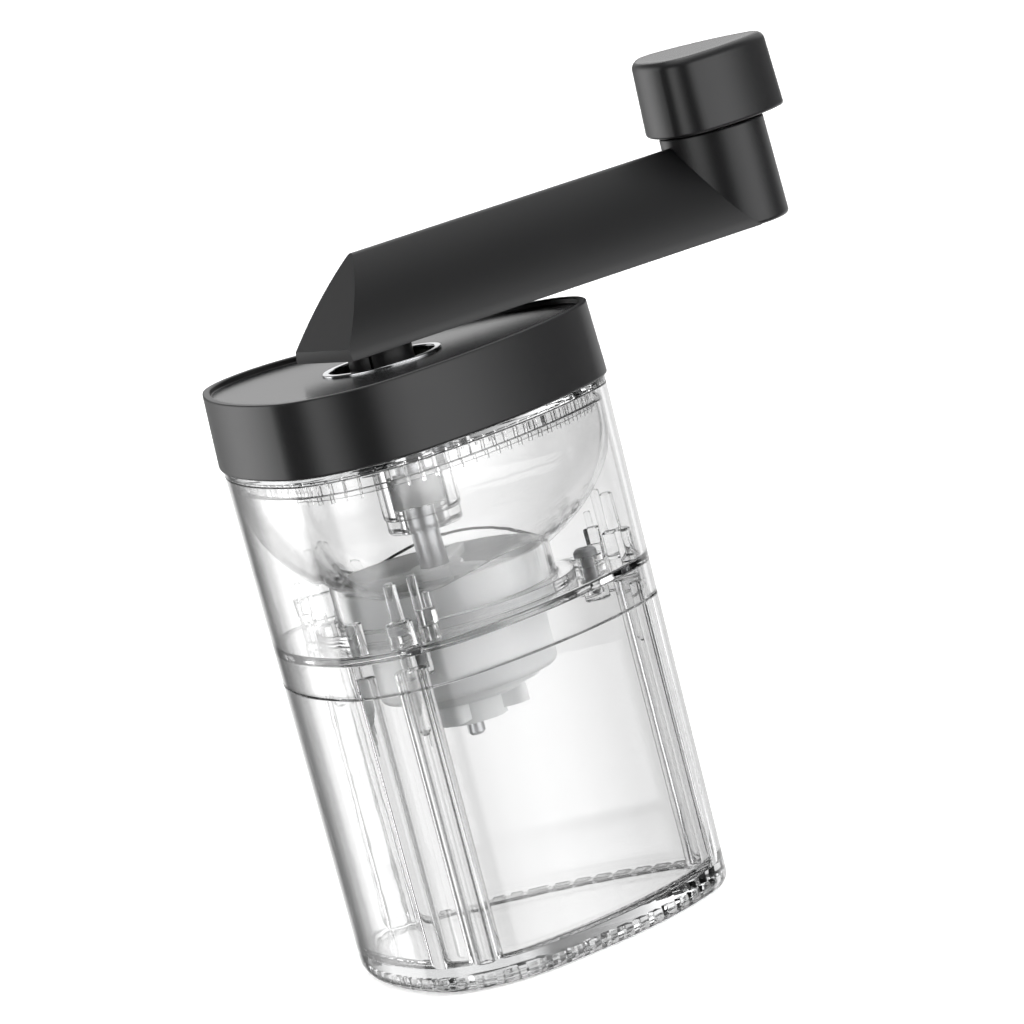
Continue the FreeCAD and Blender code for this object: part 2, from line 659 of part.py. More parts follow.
def make_upper_body():
    body = new_body("upper_body")
    low = PARTING + S["joint_gap"]
    outside = [plan(body, "outer_low", low, S["joint_inset"]), plan(body, "outer_high", UPPER_RIM, S["upper_inset"])]
    loft(body, "outer_wall", outside)
    wall = S["upper_wall"]
    inside = [plan(body, "inner_low", low, S["joint_inset"] + wall),
              plan(body, "inner_high", UPPER_RIM, S["upper_inset"] + wall)]
    loft(body, "hollow", inside, cut=True)
    deck = plan(body, "deck_plan", SPIGOT_TOP, S["joint_inset"] + wall / 2.0)
    pad(body, "deck", deck, S["deck_thickness"])
    main, side = corners(S["rail_centre"]), corners(S["side_rail_centre"], -S["side_rail_angle"])
    round_columns(body, "guide_pins", main, SPIGOT_TOP - S["guide_pin_length"], DECK_TOP, S["guide_pin_radius"])
    boss_top = DECK_TOP + S["boss_height"]
    round_columns(body, "corner_bosses", main, SPIGOT_TOP, boss_top, S["boss_radius"])
    round_columns(body, "thin_posts", main, SPIGOT_TOP, boss_top + S["post_height_small"], S["post_radius_small"])
    round_columns(body, "side_bosses", side, SPIGOT_TOP, boss_top + S["side_boss_rise"], S["side_boss_radius"])
    screws = corners(S["ear_reach"])
    screw_foot = DECK_TOP - S["bowl_screw_length"]
    round_columns(body, "screw_bosses", screws, screw_foot, DECK_TOP, S["screw_boss"])
    round_holes(body, "deck_opening", [(0.0, 0.0)], SPIGOT_TOP, DECK_TOP, S["deck_hole"])
    round_holes(body, "screw_bores", screws, screw_foot + S["ear_thickness"], DECK_TOP, S["screw_radius"])
    return body


def bowl_sections(body, name, inset, depth):
    """Plans of the bowl from its rim down, shrinking along a quarter ellipse."""
    sections = [plan(body, f"{name}_spring", BOWL_SPRING, inset)]
    for index, drop in enumerate(BOWL_STATIONS):
        share = root(1.0 - of(drop) * drop)
        sections.append(plan(body, f"{name}_{index}", BOWL_SPRING - depth * drop, inset, share))
    return sections


def make_hopper_bowl():
    body = new_body("hopper_bowl")
    outer, inner = BOWL_INSET, BOWL_INSET + S["bowl_wall"]
    rim = [plan(body, "rim_plan", BOWL_RIM, outer), plan(body, "spring_plan", BOWL_SPRING, outer)]
    loft(body, "rim", rim)
    loft(body, "bowl", bowl_sections(body, "bowl", outer, S["bowl_depth"]), ruled=False)
    cup_top = BOWL_SPRING - S["bowl_depth"] * CUP_SHARE
    rounding = S["cup_rounding"]
    turned(body, "cup", [(0.0, CUP_FOOT), (S["cup_radius"] - rounding, CUP_FOOT, rounding),
                         (S["cup_radius"], CUP_FOOT + rounding), (S["cup_radius"], cup_top), (0.0, cup_top)])
    ear_top = DECK_TOP + S["ear_thickness"]
    round_columns(body, "flange", [(0.0, 0.0)], DECK_TOP, ear_top, S["flange_radius"])
    bars(body, "ear", DECK_TOP, ear_top, S["cup_radius"] - 1.0, S["ear_reach"], S["ear_radius"])
    round_columns(body, "ear_ends", corners(S["ear_reach"]), DECK_TOP, ear_top, S["ear_radius"])
    loft(body, "rim_hollow", [plan(body, "rim_inner", BOWL_RIM, inner),
                              plan(body, "spring_inner", BOWL_SPRING, inner)], cut=True)
    loft(body, "bowl_hollow", bowl_sections(body, "hollow", inner, S["bowl_depth"] - S["bowl_wall"]),
         ruled=False, cut=True)
    bore = S["cup_radius"] - S["cup_wall"]
    round_holes(body, "cup_bore", [(0.0, 0.0)], CUP_FLOOR, cup_top, bore)
    round_holes(body, "cup_hole", [(0.0, 0.0)], CUP_FOOT, CUP_FLOOR, S["cup_lip"])
    round_holes(body, "ear_holes", corners(S["ear_reach"]), DECK_TOP, ear_top,
                S["screw_radius"] + S["screw_clearance"])
    return body


def make_screws(label, reach, seat, length, up=False):
    """Three like screws in the corner directions, heads on the seat; up drives them upwards."""
    body = new_body(label)
    body.AllowCompound = True
    way = -1.0 if up else 1.0
    head, shank = S["screw_head_radius"], S["screw_radius"]
    top = seat + S["screw_head_height"] * way
    tip = seat - of(length) * way
    edge = S["screw_head_height"] * 0.4
    recess, drive = S["screw_head_height"] * 0.6, shank * 0.75
    points = [(0.0, tip), (shank * 0.5, tip), (shank, tip + shank * way), (shank, seat), (head, seat),
              (head, top - edge * way), (head - edge, top), (drive, top),
              (drive, top - recess * way), (0.0, top - recess * way)]
    sketch = sketch_on(body, "screw_section", plane="XZ")
    sketch.setExpression("AttachmentOffset.Base.x", of(reach).text)
    trace(sketch, points)
    screw = feature(body, "Revolution", "screw", Profile=sketch, ReferenceAxis=(sketch, ["V_Axis"]), Angle=360.0)
    spread(body, "three_screws", [screw], CORNERS)
    return body


# Burr set

def make_burr_holder():
    body = new_body("burr_holder")
    bore = S["outer_burr_radius"] + S["fit_gap"]
    outside = S["holder_radius"]
    turned(body, "housing", [
        (bore, HOLDER_FOOT), (S["holder_tube"], HOLDER_FOOT), (S["holder_tube"], CUP_FLOOR),
        (outside, CUP_FLOOR), (outside, HOLDER_TOP), (outside - S["holder_rim"], HOLDER_TOP),
        (S["outer_mouth"], OUTER_BURR_TOP), (bore, OUTER_BURR_TOP)])
    spider_foot = HOLDER_TOP - S["spider_thickness"]
    bars(body, "arm", spider_foot, HOLDER_TOP, S["spider_hub"] - 1.0, outside - S["holder_rim"] - 0.2,
         S["spider_arm"] / 2.0, first=60.0)
    ring(body, "bearing", S["shaft_radius"] + S["running_gap"], S["spider_hub"], spider_foot, HOLDER_TOP)
    return body


def groove_sections(body, name, stations, draw):
    """One sketch at each station: height, radius of the surface there, turn."""
    sections = []
    for index, (height, radius, turn) in enumerate(stations):
        sketch = sketch_on(body, f"{name}_{index}", height=height, turn=turn)
        draw(sketch, radius, index)
        sections.append(sketch)
    return sections


def make_outer_burr():
    """Ceramic ring: a mouth that narrows to a throat, and a toothed skirt below it."""
    body = new_body("outer_burr")
    foot, top = OUTER_BURR_FOOT, OUTER_BURR_TOP
    throat = foot + S["throat_height"]
    outside = S["outer_burr_radius"]
    turned(body, "ring", [(S["outer_exit"], foot), (outside, foot), (outside, top), (S["outer_mouth"], top),
                          (S["outer_throat"], throat)])
    depth = S["outer_tooth"]

    def fine(sketch, radius, index):
        half = radius * sine(180.0 / OUTER_TEETH * TOOTH_SHARE)
        trace(sketch, [(radius - 1.0, -half), (radius + depth, half * SAW_LEAN), (radius - 1.0, half)])

    slope = (S["outer_exit"] - S["outer_throat"]) / S["throat_height"]
    stations = [(foot - 0.5, S["outer_exit"] + slope * 0.5, 0.0),
                (throat + 0.3, S["outer_throat"], -S["tooth_twist"] * OUTER_TWIST_SHARE)]
    tooth = loft(body, "fine_groove", groove_sections(body, "fine", stations, fine), cut=True)
    spread(body, "fine_teeth", [tooth], OUTER_TEETH)

    def scallop(sketch, radius, index):
        deep = S["outer_scallop"] * (1.0 if index else 0.2)
        half = radius * sine(180.0 / MOUTH_SCALLOPS * SCALLOP_SHARE)
        trace(sketch, [(radius - 2.0, -half), (radius + deep, -half * 0.2), (radius + deep, half * 0.3),
                       (radius - 2.0, half)])

    rise = (S["outer_mouth"] - S["outer_throat"]) / (top - throat)
    stations = [(throat, S["outer_throat"], 0.0), (top + 0.5, S["outer_mouth"] + rise * 0.5, S["scallop_twist"])]
    cut = loft(body, "scallop", groove_sections(body, "scallop", stations, scallop), cut=True)
    spread(body, "scallops", [cut], MOUTH_SCALLOPS)
    return body


def make_inner_burr():
    """Ceramic cone: fine sawtooth grooves round its foot and twisted feed blades above them."""
    body = new_body("inner_burr")
    foot, top = INNER_BURR_FOOT, INNER_BURR_TOP
    waist = foot + S["inner_waist_height"]
    turned(body, "cone", [(0.0, foot), (S["inner_base"], foot), (S["inner_waist"], waist),
                          (S["inner_top"], top), (0.0, top)])
    upper_slope = (S["inner_waist"] - S["inner_top"]) / (top - waist)
    shares = BLADE_REACH_SHARES
    blade_foot, blade_top = waist + 1.2, top - 0.6

    def blade(sketch, radius, index):
        reach = S["blade_reach"] * shares[index]
        box_outline(sketch, radius - 1.5, radius + reach, -S["blade_width"] / 2.0, S["blade_width"] / 2.0)

    stations = []
    for index in range(len(shares)):
        part = index / (len(shares) - 1)
        height = blade_foot + (blade_top - blade_foot) * part
        stations.append((height, S["inner_waist"] - upper_slope * (height - waist), S["blade_twist"] * part))
    fin = loft(body, "feed_blade", groove_sections(body, "blade", stations, blade))
    spread(body, "feed_blades", [fin], FEED_BLADES)
    depth = S["inner_tooth"]

    def fine(sketch, radius, index):
        half = radius * sine(180.0 / FINE_TEETH * TOOTH_SHARE)
        trace(sketch, [(radius - depth, half * SAW_LEAN), (radius + 1.0, -half), (radius + 1.0, half)])

    slope = (S["inner_base"] - S["inner_waist"]) / S["inner_waist_height"]
    twist = S["tooth_twist"]
    stations = [(foot - 0.5, S["inner_base"] + slope * 0.5, 0.0),
                (foot + S["inner_waist_height"] / 2.0, (S["inner_base"] + S["inner_waist"]) / 2.0, twist / 2.0),
                (waist + 0.3, S["inner_waist"] + S["inner_tooth"] * 0.6, twist)]
    tooth = loft(body, "fine_groove", groove_sections(body, "fine", stations, fine), cut=True)
    spread(body, "fine_teeth", [tooth], FINE_TEETH)
    round_holes(body, "spring_bore", [(0.0, 0.0)], SPRING_FOOT, top, S["spring_bore"])
    flat_bore(body, "shaft_bore", foot, SPRING_FOOT)
    key = S["carrier_key_radius"] + S["key_gap"]
    half = S["carrier_key_width"] / 2.0 + S["key_gap"]
    slot = sketch_on(body, "key_slot_plan", height=foot)
    box_outline(slot, -key, key, -half, half)
    pocket(body, "key_slot", slot, S["carrier_key"] + S["key_gap"])
    return body


def flat_bore(body, name, low, high):
    """A bore with two flats, which the shaft drives."""
    sketch = sketch_on(body, name + "_plan", height=low)
    radius, flat = S["shaft_radius"] + S["flat_gap"], S["shaft_flat"] + S["flat_gap"]
    wide = root(radius * radius - flat * flat)
    trace(sketch, [(wide, -flat, radius), (wide, flat), (-wide, flat, radius), (-wide, -flat)])
    return pocket(body, name, sketch, of(high) - low)


def make_burr_carrier():
    body = new_body("burr_carrier")
    step = CARRIER_FOOT + S["carrier_hub_height"]
    hub, disc = S["carrier_hub"], S["carrier_radius"]
    turned(body, "discs", [(0.0, CARRIER_FOOT), (hub - 0.8, CARRIER_FOOT), (hub, CARRIER_FOOT + 0.8), (hub, step),
                           (disc, step), (disc, INNER_BURR_FOOT), (0.0, INNER_BURR_FOOT)])
    key = sketch_on(body, "key_plan", height=INNER_BURR_FOOT)
    half = S["carrier_key_width"] / 2.0
    box_outline(key, -S["carrier_key_radius"], S["carrier_key_radius"], -half, half)
    pad(body, "key", key, S["carrier_key"])
    flat_bore(body, "shaft_bore", CARRIER_FOOT, INNER_BURR_FOOT + S["carrier_key"])
    return body


def make_adjust_nut():
    body = new_body("adjust_nut")
    round_columns(body, "body", [(0.0, 0.0)], NUT_FOOT, CARRIER_FOOT, S["nut_radius"])
    half, reach = S["nut_lobe_width"] / 2.0, S["nut_lobe"]
    sketch = sketch_on(body, "lobe_plan", height=NUT_FOOT + S["nut_lobe_rise"], turn=S["nut_angle"])
    trace(sketch, [(S["thread_radius"] + 2.0, -half), (reach - half, -half, half), (reach, 0.0, half),
                   (reach - half, half), (S["thread_radius"] + 2.0, half)])
    lobe = pad(body, "lobe", sketch, S["nut_height"] - S["nut_lobe_rise"])
    spread(body, "lobes", [lobe], NUT_LOBES)
    relief = NUT_FOOT + S["nut_thread_length"]
    round_holes(body, "thread", [(0.0, 0.0)], NUT_FOOT, relief, S["thread_radius"] + S["thread_gap"])
    round_holes(body, "relief", [(0.0, 0.0)], relief, CARRIER_FOOT, S["shaft_radius"] + S["key_gap"])
    return body


def make_drive_shaft():
    body = new_body("drive_shaft")
    thread, shaft = S["thread_radius"], S["shaft_radius"]
    turned(body, "bar", [(0.0, SHAFT_FOOT), (thread - 0.7, SHAFT_FOOT), (thread, SHAFT_FOOT + 0.7),
                         (thread, SHOULDER), (shaft, SHOULDER), (shaft, SHAFT_TOP), (0.0, SHAFT_TOP)])
    for side, way in (("front", -1.0), ("back", 1.0)):
        sketch = sketch_on(body, f"{side}_flat_plan", height=SHOULDER)
        ends = (S["shaft_flat"] * way, (shaft + 1.0) * way)
        low, high = (ends[1], ends[0]) if way < 0 else ends
        box_outline(sketch, -shaft, shaft, low, high)
        pocket(body, f"{side}_flat", sketch, SPRING_TOP - SHOULDER - S["washer_thickness"])
    groove = S["clip_groove"]
    ring(body, "clip_groove", groove, shaft + 1.0, CLIP_FOOT, CLIP_FOOT + S["clip_thickness"], cut=True)
    hexagon = sketch_on(body, "hexagon_plan", height=HUB_FOOT, turn=S["crank_angle"])
    circle(hexagon, shaft + 1.0)
    six_sided(hexagon, S["hex_half"])
    pocket(body, "hexagon", hexagon, S["hex_height"])
    return body


def six_sided(sketch, half):
    reach = half / cosine(30.0)
    trace(sketch, [(reach * cosine(60.0 * index), reach * sine(60.0 * index)) for index in range(6)])


def make_burr_spring():
    body = new_body("burr_spring")
    wire = S["spring_wire"] / 2.0
    sketch = sketch_on(body, "wire_section", plane="XZ")
    circle(sketch, wire, S["spring_radius"], SPRING_FOOT + wire)
    height = S["spring_length"] - S["spring_wire"]
    feature(body, "AdditiveHelix", "coil", Profile=sketch, ReferenceAxis=(sketch, ["V_Axis"]),
            Mode="pitch-height-angle", Pitch=height / S["spring_turns"], Height=height)
    return body


def make_spring_washer():
    body = new_body("spring_washer")
    inner, outer = S["shaft_radius"] + S["running_gap"], S["spring_bore"] - S["washer_gap"]
    ring(body, "washer", inner, outer, SPRING_TOP, CLIP_FOOT)
    return body


def make_shaft_clip():
    body = new_body("shaft_clip")
    ring(body, "clip", S["clip_groove"] + S["fit_gap"], S["clip_radius"], CLIP_FOOT,
         CLIP_FOOT + S["clip_thickness"] - S["fit_gap"])
    mouth = sketch_on(body, "mouth_plan", height=CLIP_FOOT)
    box_outline(mouth, 0.0, S["clip_radius"] + 1.0, -S["clip_groove"] * 0.8, S["clip_groove"] * 0.8)
    pocket(body, "mouth", mouth, S["clip_thickness"])
    return body


# Lid

def make_inner_lid():
    body = new_body("inner_lid")
    pad(body, "flange", plan(body, "flange_plan", UPPER_RIM, S["upper_inset"]), S["lid_flange"])
    skirt_foot = UPPER_RIM - S["skirt_drop"]
    pad(body, "skirt", plan(body, "skirt_plan", skirt_foot, SKIRT_INSET), S["skirt_drop"])
    hollow = plan(body, "skirt_hollow_plan", skirt_foot, SKIRT_INSET + S["skirt_wall"])
    pocket(body, "skirt_hollow", hollow, S["skirt_drop"])
    round_columns(body, "tube", [(0.0, 0.0)], TUBE_FOOT, UPPER_RIM, S["tube_radius"])
    round_holes(body, "tube_bore", [(0.0, 0.0)], TUBE_FOOT, LID_FOOT, S["tube_bore"])
    round_holes(body, "screw_holes", corners(S["lid_screw_reach"]), UPPER_RIM, LID_FOOT,
                S["screw_radius"] + S["screw_clearance"])
    ribs = blocks_along_plan("skirt_ribs", skirt_foot, S["skirt_drop"], SKIRT_INSET + S["rib_root"],
                             S["skirt_rib_width"], S["skirt_rib"] + S["rib_root"], SKIRT_RIBS)
    body.Label = "inner_lid_shell"
    return combined("MultiFuse", "inner_lid", body, ribs)


def make_shaft_bush():
    body = new_body("shaft_bush")
    low = TUBE_FOOT + S["bush_cap_lip"]
    ring(body, "bush", S["shaft_radius"] + S["running_gap"], S["tube_bore"] - S["fit_gap"],
         low, low + S["bush_length"])
    return body


def make_bush_cap():
    body = new_body("bush_cap")
    bore = S["shaft_radius"] + S["slip_gap"]
    spigot = S["tube_bore"] - S["fit_gap"]
    edge = 0.6
    outer = S["bush_cap_radius"]
    turned(body, "cap", [(bore, BUSH_CAP_FOOT), (outer - edge, BUSH_CAP_FOOT), (outer, BUSH_CAP_FOOT + edge),
                         (outer, TUBE_FOOT), (spigot, TUBE_FOOT), (spigot, TUBE_FOOT + S["bush_cap_lip"]),
                         (bore, TUBE_FOOT + S["bush_cap_lip"])])
    return body


def make_lid_cover():
    body = new_body("lid_cover")
    edge = S["lid_edge"]
    stacked(body, "shell", plan,
            rounded(LID_FOOT, -S["lid_flare"], edge, top=False) + rounded(LID_RIM, 0.0, edge, top=True))
    recess = plan(body, "recess_plan", LID_FLOOR, S["lid_rim"])
    pocket(body, "recess", recess, S["lid_recess"])
    roof = LID_FLOOR - S["lid_roof"]
    wall = S["lid_wall"]
    loft(body, "hollow", [plan(body, "hollow_low", LID_FOOT, wall - S["lid_flare"]),
                          plan(body, "hollow_high", roof, wall)], cut=True)
    screws = corners(S["lid_screw_reach"])
    round_columns(body, "screw_bosses", screws, LID_FOOT, LID_FLOOR - S["lid_roof"] / 2.0, S["screw_boss"])
    round_holes(body, "screw_bores", screws, LID_FOOT, LID_FOOT + S["lid_screw_length"], S["screw_radius"])
    hole = S["ring_radius"] - S["ring_width"] + S["fit_gap"]
    round_holes(body, "centre_hole", [(0.0, 0.0)], roof, LID_FLOOR, hole)
    return body


def make_lid_ring():
    body = new_body("lid_ring")
    outer = S["ring_radius"]
    sleeve = outer - S["ring_width"]
    top = LID_FLOOR + S["ring_proud"]
    foot = LID_FLOOR - S["lid_roof"]
    edge = S["ring_proud"] * 0.6
    turned(body, "ring", [(sleeve - S["ring_sleeve"], foot), (sleeve, foot), (sleeve, LID_FLOOR),
                          (outer, LID_FLOOR), (outer, top - edge, edge), (outer - edge, top),
                          (sleeve - S["ring_sleeve"] + edge, top, edge), (sleeve - S["ring_sleeve"], top - edge)])
    return body


# Crank, in its own frame with the knob on +X

def make_crank_arm():
    body = new_body("crank_arm")
    half, foot, side = S["arm_half_width"], ARM_FOOT, ARM_FOOT + S["arm_foot_edge"]
    ridge, crown, curve = S["arm_ridge"], S["arm_ridge_radius"], S["arm_side_radius"]
    shoulder = ARM_RIDGE - crown + root(crown * crown - ridge * ridge)
    section = sketch_on(body, "arch", plane="YZ", height=-S["arm_tail"])
    trace(section, [(-half, foot), (half, foot), (half, side, curve), (ridge, shoulder, crown),
                    (-ridge, shoulder, curve), (-half, side)])
    pad(body, "arm", section, S["arm_tail"] + S["crank_radius"])
    rake = sketch_on(body, "rake_plan", plane="XZ", height=-(half + 1.0))
    tail, lean, band = S["arm_tail"], S["arm_tail"] - S["arm_rake"], ARM_FOOT + S["arm_band"]
    trace(rake, [(-tail - 1.0, band), (-tail, band), (-lean, ARM_RIDGE), (-lean, ARM_RIDGE + 1.0),
                 (-tail - 1.0, ARM_RIDGE + 1.0)])
    pocket(body, "raked_end", rake, (half + 1.0) * 2.0)
    edge, outer = S["post_edge"], S["post_foot_radius"]
    post = sketch_on(body, "post_section", plane="XZ")
    post.setExpression("AttachmentOffset.Base.x", S["crank_radius"].text)
    trace(post, [(0.0, foot), (outer - edge, foot, edge), (outer, foot + edge), (S["post_radius"], POST_TOP - 0.5),
                 (S["post_radius"] - 0.5, POST_TOP), (0.0, POST_TOP)])
    feature(body, "Revolution", "post", Profile=post, ReferenceAxis=(post, ["V_Axis"]), Angle=360.0)
    round_holes(body, "hub_socket", [(0.0, 0.0)], foot, foot + S["hub_spigot_height"],
                S["hub_spigot"] + S["fit_gap"])
    round_holes(body, "screw_bore", [(0.0, 0.0)], foot, HUB_SCREW_SEAT + S["hub_screw_length"] + 0.5,
                S["screw_radius"])
    pin = sketch_on(body, "pin_bore_plan", height=POST_TOP - S["pin_depth"])
    circle(pin, S["pin_radius"] + S["fit_gap"], S["crank_radius"], 0.0)
    pocket(body, "pin_bore", pin, S["pin_depth"])
    start = S["hub_radius"] + S["arm_core_wall"]
    end = S["crank_radius"] - S["post_foot_radius"]
    length = (end - start - S["arm_core_rib"] * (ARM_CORES - 1.0)) / float(ARM_CORES)
    wide = half - S["arm_core_wall"] - 0.6
    for index in range(ARM_CORES):
        x0 = start + (length + S["arm_core_rib"]) * float(index)
        core = sketch_on(body, f"core_plan_{index}", height=foot)
        box_outline(core, x0, x0 + length, -wide, wide)
        pocket(body, f"core_{index}", core, S["arm_core_depth"])
    place(body, turn=S["crank_angle"])
    return body


def make_crank_hub():
    body = new_body("crank_hub")
    radius, edge = S["hub_radius"], 0.6
    top = ARM_FOOT + S["hub_spigot_height"]
    turned(body, "hub", [(0.0, HUB_FOOT), (radius - edge, HUB_FOOT), (radius, HUB_FOOT + edge), (radius, ARM_FOOT),
                         (S["hub_spigot"], ARM_FOOT), (S["hub_spigot"], top), (0.0, top)])
    socket = sketch_on(body, "socket_plan", height=HUB_FOOT)
    six_sided(socket, S["hex_half"] + S["hex_gap"])
    pocket(body, "socket", socket, S["hex_height"])
    room = HUB_FOOT + S["hex_height"]
    round_holes(body, "head_room", [(0.0, 0.0)], room, HUB_SCREW_SEAT, S["screw_head_radius"] + S["screw_clearance"])
    round_holes(body, "screw_hole", [(0.0, 0.0)], HUB_SCREW_SEAT, top, S["screw_radius"] + S["screw_clearance"])
    slit = sketch_on(body, "slit_plan", height=HUB_FOOT, turn=S["hub_slit_angle"])
    half = S["hub_slit"] / 2.0
    box_outline(slit, radius - S["hub_slit"], radius + 1.0, -half, half)
    pocket(body, "slit", slit, S["hub_drop"])
    place(body, turn=S["crank_angle"])
    return body


def make_hub_screw():
    body = new_body("hub_screw")
    shank, head, low = S["screw_radius"], S["screw_head_radius"], HUB_SCREW_SEAT - S["screw_head_height"]
    tip = HUB_SCREW_SEAT + S["hub_screw_length"]
    turned(body, "screw", [(0.0, low + 0.8), (shank, low + 0.8), (shank, low), (head, low), (head, HUB_SCREW_SEAT),
                           (shank, HUB_SCREW_SEAT), (shank, tip - shank), (shank * 0.5, tip), (0.0, tip)])
    place(body, turn=S["crank_angle"])
    return body


def at_post(body, turn=None):
    """Puts a piece drawn about its own upright axis on the post."""
    angle = S["crank_angle"]
    place(body, x=S["crank_radius"] * cosine(angle), y=S["crank_radius"] * sine(angle), turn=turn)


def make_knob_pin():
    body = new_body("knob_pin")
    low, high = POST_TOP - S["pin_depth"], POST_TOP + S["pin_height"]
    radius, head = S["pin_radius"], S["pin_head"]
    turned(body, "pin", [(0.0, low), (radius - 0.5, low), (radius, low + 0.5), (radius, high - S["pin_head_height"]),
                         (head, high - S["pin_head_height"]), (head, high - 0.6), (head - 0.6, high), (0.0, high)])
    at_post(body)
    return body


def make_knob_washer():
    body = new_body("knob_washer")
    ring(body, "washer", S["pin_radius"] + S["running_gap"], S["knob_washer_radius"], POST_TOP,
         KNOB_FOOT - S["fit_gap"])
    at_post(body)
    return body


def knob_plan(body, name, height, inset):
    sketch = sketch_on(body, name, height=height)
    rounded_triangle(sketch, S["knob_centre"], S["knob_corner"] - inset, S["knob_side"] - inset)
    return sketch


def make_knob():
    body = new_body("knob")
    stacked(body, "shell", knob_plan, rounded(KNOB_FOOT, 0.0, S["knob_foot"], top=False)
            + rounded(KNOB_TOP, S["knob_draft"], S["knob_edge"], top=True))
    wall, ceiling = S["knob_wall"], KNOB_FOOT + S["knob_core_depth"]
    pocket(body, "hollow", knob_plan(body, "hollow_plan", KNOB_FOOT, wall), S["knob_core_depth"])
    ring(body, "sleeve", S["pin_radius"] + S["running_gap"], S["knob_sleeve"], KNOB_FOOT, ceiling + 0.5)
    head_low = POST_TOP + S["pin_height"] - S["pin_head_height"] - S["key_gap"]
    ring(body, "head_room", 0.0, S["pin_head"] + S["slip_gap"], head_low, ceiling, cut=True)
    at_post(body, turn=S["knob_angle"])
    return body


def check(item):
    """Stops on anything that failed to build."""
    bad = {"Invalid", "Error"} & set(item.State)
    if bad:
        raise RuntimeError(f"{item.Label}: {item.State}")


def main():
    make_container()
    make_upper_body()
    make_hopper_bowl()
    make_screws("bowl_screws", S["ear_reach"], DECK_TOP + S["ear_thickness"], S["bowl_screw_length"])
    make_burr_holder()
    make_outer_burr()
    make_inner_burr()
    make_burr_carrier()
    make_adjust_nut()
    make_drive_shaft()
    make_burr_spring()
    make_spring_washer()
    make_shaft_clip()
    make_inner_lid()
    make_shaft_bush()
    make_bush_cap()
    make_lid_cover()
    make_lid_ring()
    make_screws("lid_screws", S["lid_screw_reach"], UPPER_RIM, S["lid_screw_length"], up=True)
    make_crank_arm()
    make_crank_hub()
    make_hub_screw()
    make_knob_pin()
    make_knob_washer()
    make_knob()
    doc.recompute()
    for item in doc.Objects:
        check(item)
    os.makedirs("parts", exist_ok=True)
    for part in sub_parts:
        shape = part.Shape
        if shape.isNull() or not shape.isValid():
            raise RuntimeError(f"{part.Label} has no valid shape")
        shape.exportStep(f"parts/{part.Label}.step")
        print(f"{part.Label}: {len(shape.Solids)} solids, {len(shape.Faces)} faces, {shape.Volume / 1000:.2f} cm3")


main()
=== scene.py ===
import math

import bmesh
import bpy
from mathutils import Matrix, Vector


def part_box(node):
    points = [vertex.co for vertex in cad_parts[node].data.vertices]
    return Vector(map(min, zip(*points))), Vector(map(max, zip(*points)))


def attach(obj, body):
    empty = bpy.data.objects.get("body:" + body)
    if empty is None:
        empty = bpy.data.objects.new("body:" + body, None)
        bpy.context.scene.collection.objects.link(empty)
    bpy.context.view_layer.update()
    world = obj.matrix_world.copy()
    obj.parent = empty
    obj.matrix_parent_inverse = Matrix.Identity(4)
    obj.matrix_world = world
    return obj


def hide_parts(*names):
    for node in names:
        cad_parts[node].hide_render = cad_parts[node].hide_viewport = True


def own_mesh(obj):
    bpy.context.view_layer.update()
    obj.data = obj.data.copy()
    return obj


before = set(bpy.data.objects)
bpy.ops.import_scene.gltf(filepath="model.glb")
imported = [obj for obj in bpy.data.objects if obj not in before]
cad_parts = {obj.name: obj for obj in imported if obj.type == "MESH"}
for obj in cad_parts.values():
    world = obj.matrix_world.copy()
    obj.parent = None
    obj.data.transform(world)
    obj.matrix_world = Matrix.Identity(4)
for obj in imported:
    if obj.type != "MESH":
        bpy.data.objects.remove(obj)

bl_info = {
    "name": "Hand coffee grinder",
    "version": (1, 0, 0),
    "blender": (4, 5, 0),
    "location": "View3D > Sidebar > Grinder",
    "description": "Dresses the packed frame of a hand coffee grinder with its visible pieces and finishes",
    "category": "Object",
}

# Lengths below are millimetres; piece() turns them to metres. The properties, the lamps and the floor are in metres.
MM = 0.001
CORNERS = 3

# Plan of the body: corner arcs and side arcs at the rim of the lid
PLAN = (26.2, 23.8, 104.6)
KNOB_PLAN = (10.8, 7.6, 32.8)

# Levels, from the table up
FLOOR_TOP = 5.4
PARTING = 70.6
SPIGOT_TOP = 78.6
DECK_TOP = 79.9
EAR_TOP = 82.4
UPPER_RIM = 121.2
LID_FOOT = 123.0
LID_RIM = 140.7
LID_FLOOR = 139.3
ARM_FOOT = 143.1
ARM_RIDGE = 165.4
POST_TOP = 167.4
KNOB_FOOT = 168.0
KNOB_TOP = 186.3
BOWL_RIM = 118.3
BOWL_SPRING = 115.9
CUP_FOOT = 76.0
CUP_FLOOR = 77.6
HOLDER_TOP = 90.0
HOLDER_FOOT = 62.5
TUBE_FOOT = 103.2
BUSH_CAP_FOOT = 99.5

# Insets of the walls from the lid's rim
BASE_INSET = 1.7
JOINT_INSET = 0.9
UPPER_INSET = 0.2
UPPER_WALL = 1.6
SPIGOT_INSET = 2.75
CORE_INSET = 4.15
BOWL_INSET = 2.05
BOWL_WALL = 1.7
SKIRT_INSET = 4.5
PLAN_END = 12.0  # rows of the plan end here, and flat faces go on
GAP = 0.03  # between pieces that rest on each other

# Distances from the axis, and directions in degrees
RAIL_REACH = 43.2
SIDE_RAIL_REACH = 43.0
SIDE_RAIL_TURN = -14.4
SCREW_REACH = 35.0
CUP_RADIUS = 26.5
CUP_BORE = 24.9
DECK_HOLE = 27.0
SEAT_RADIUS = 30.5
HOLDER_RADIUS = 24.7
LID_HOLE = 12.94
CRANK_REACH = 102.0
CRANK_TURN = 14.6
KNOB_TURN = 237.0


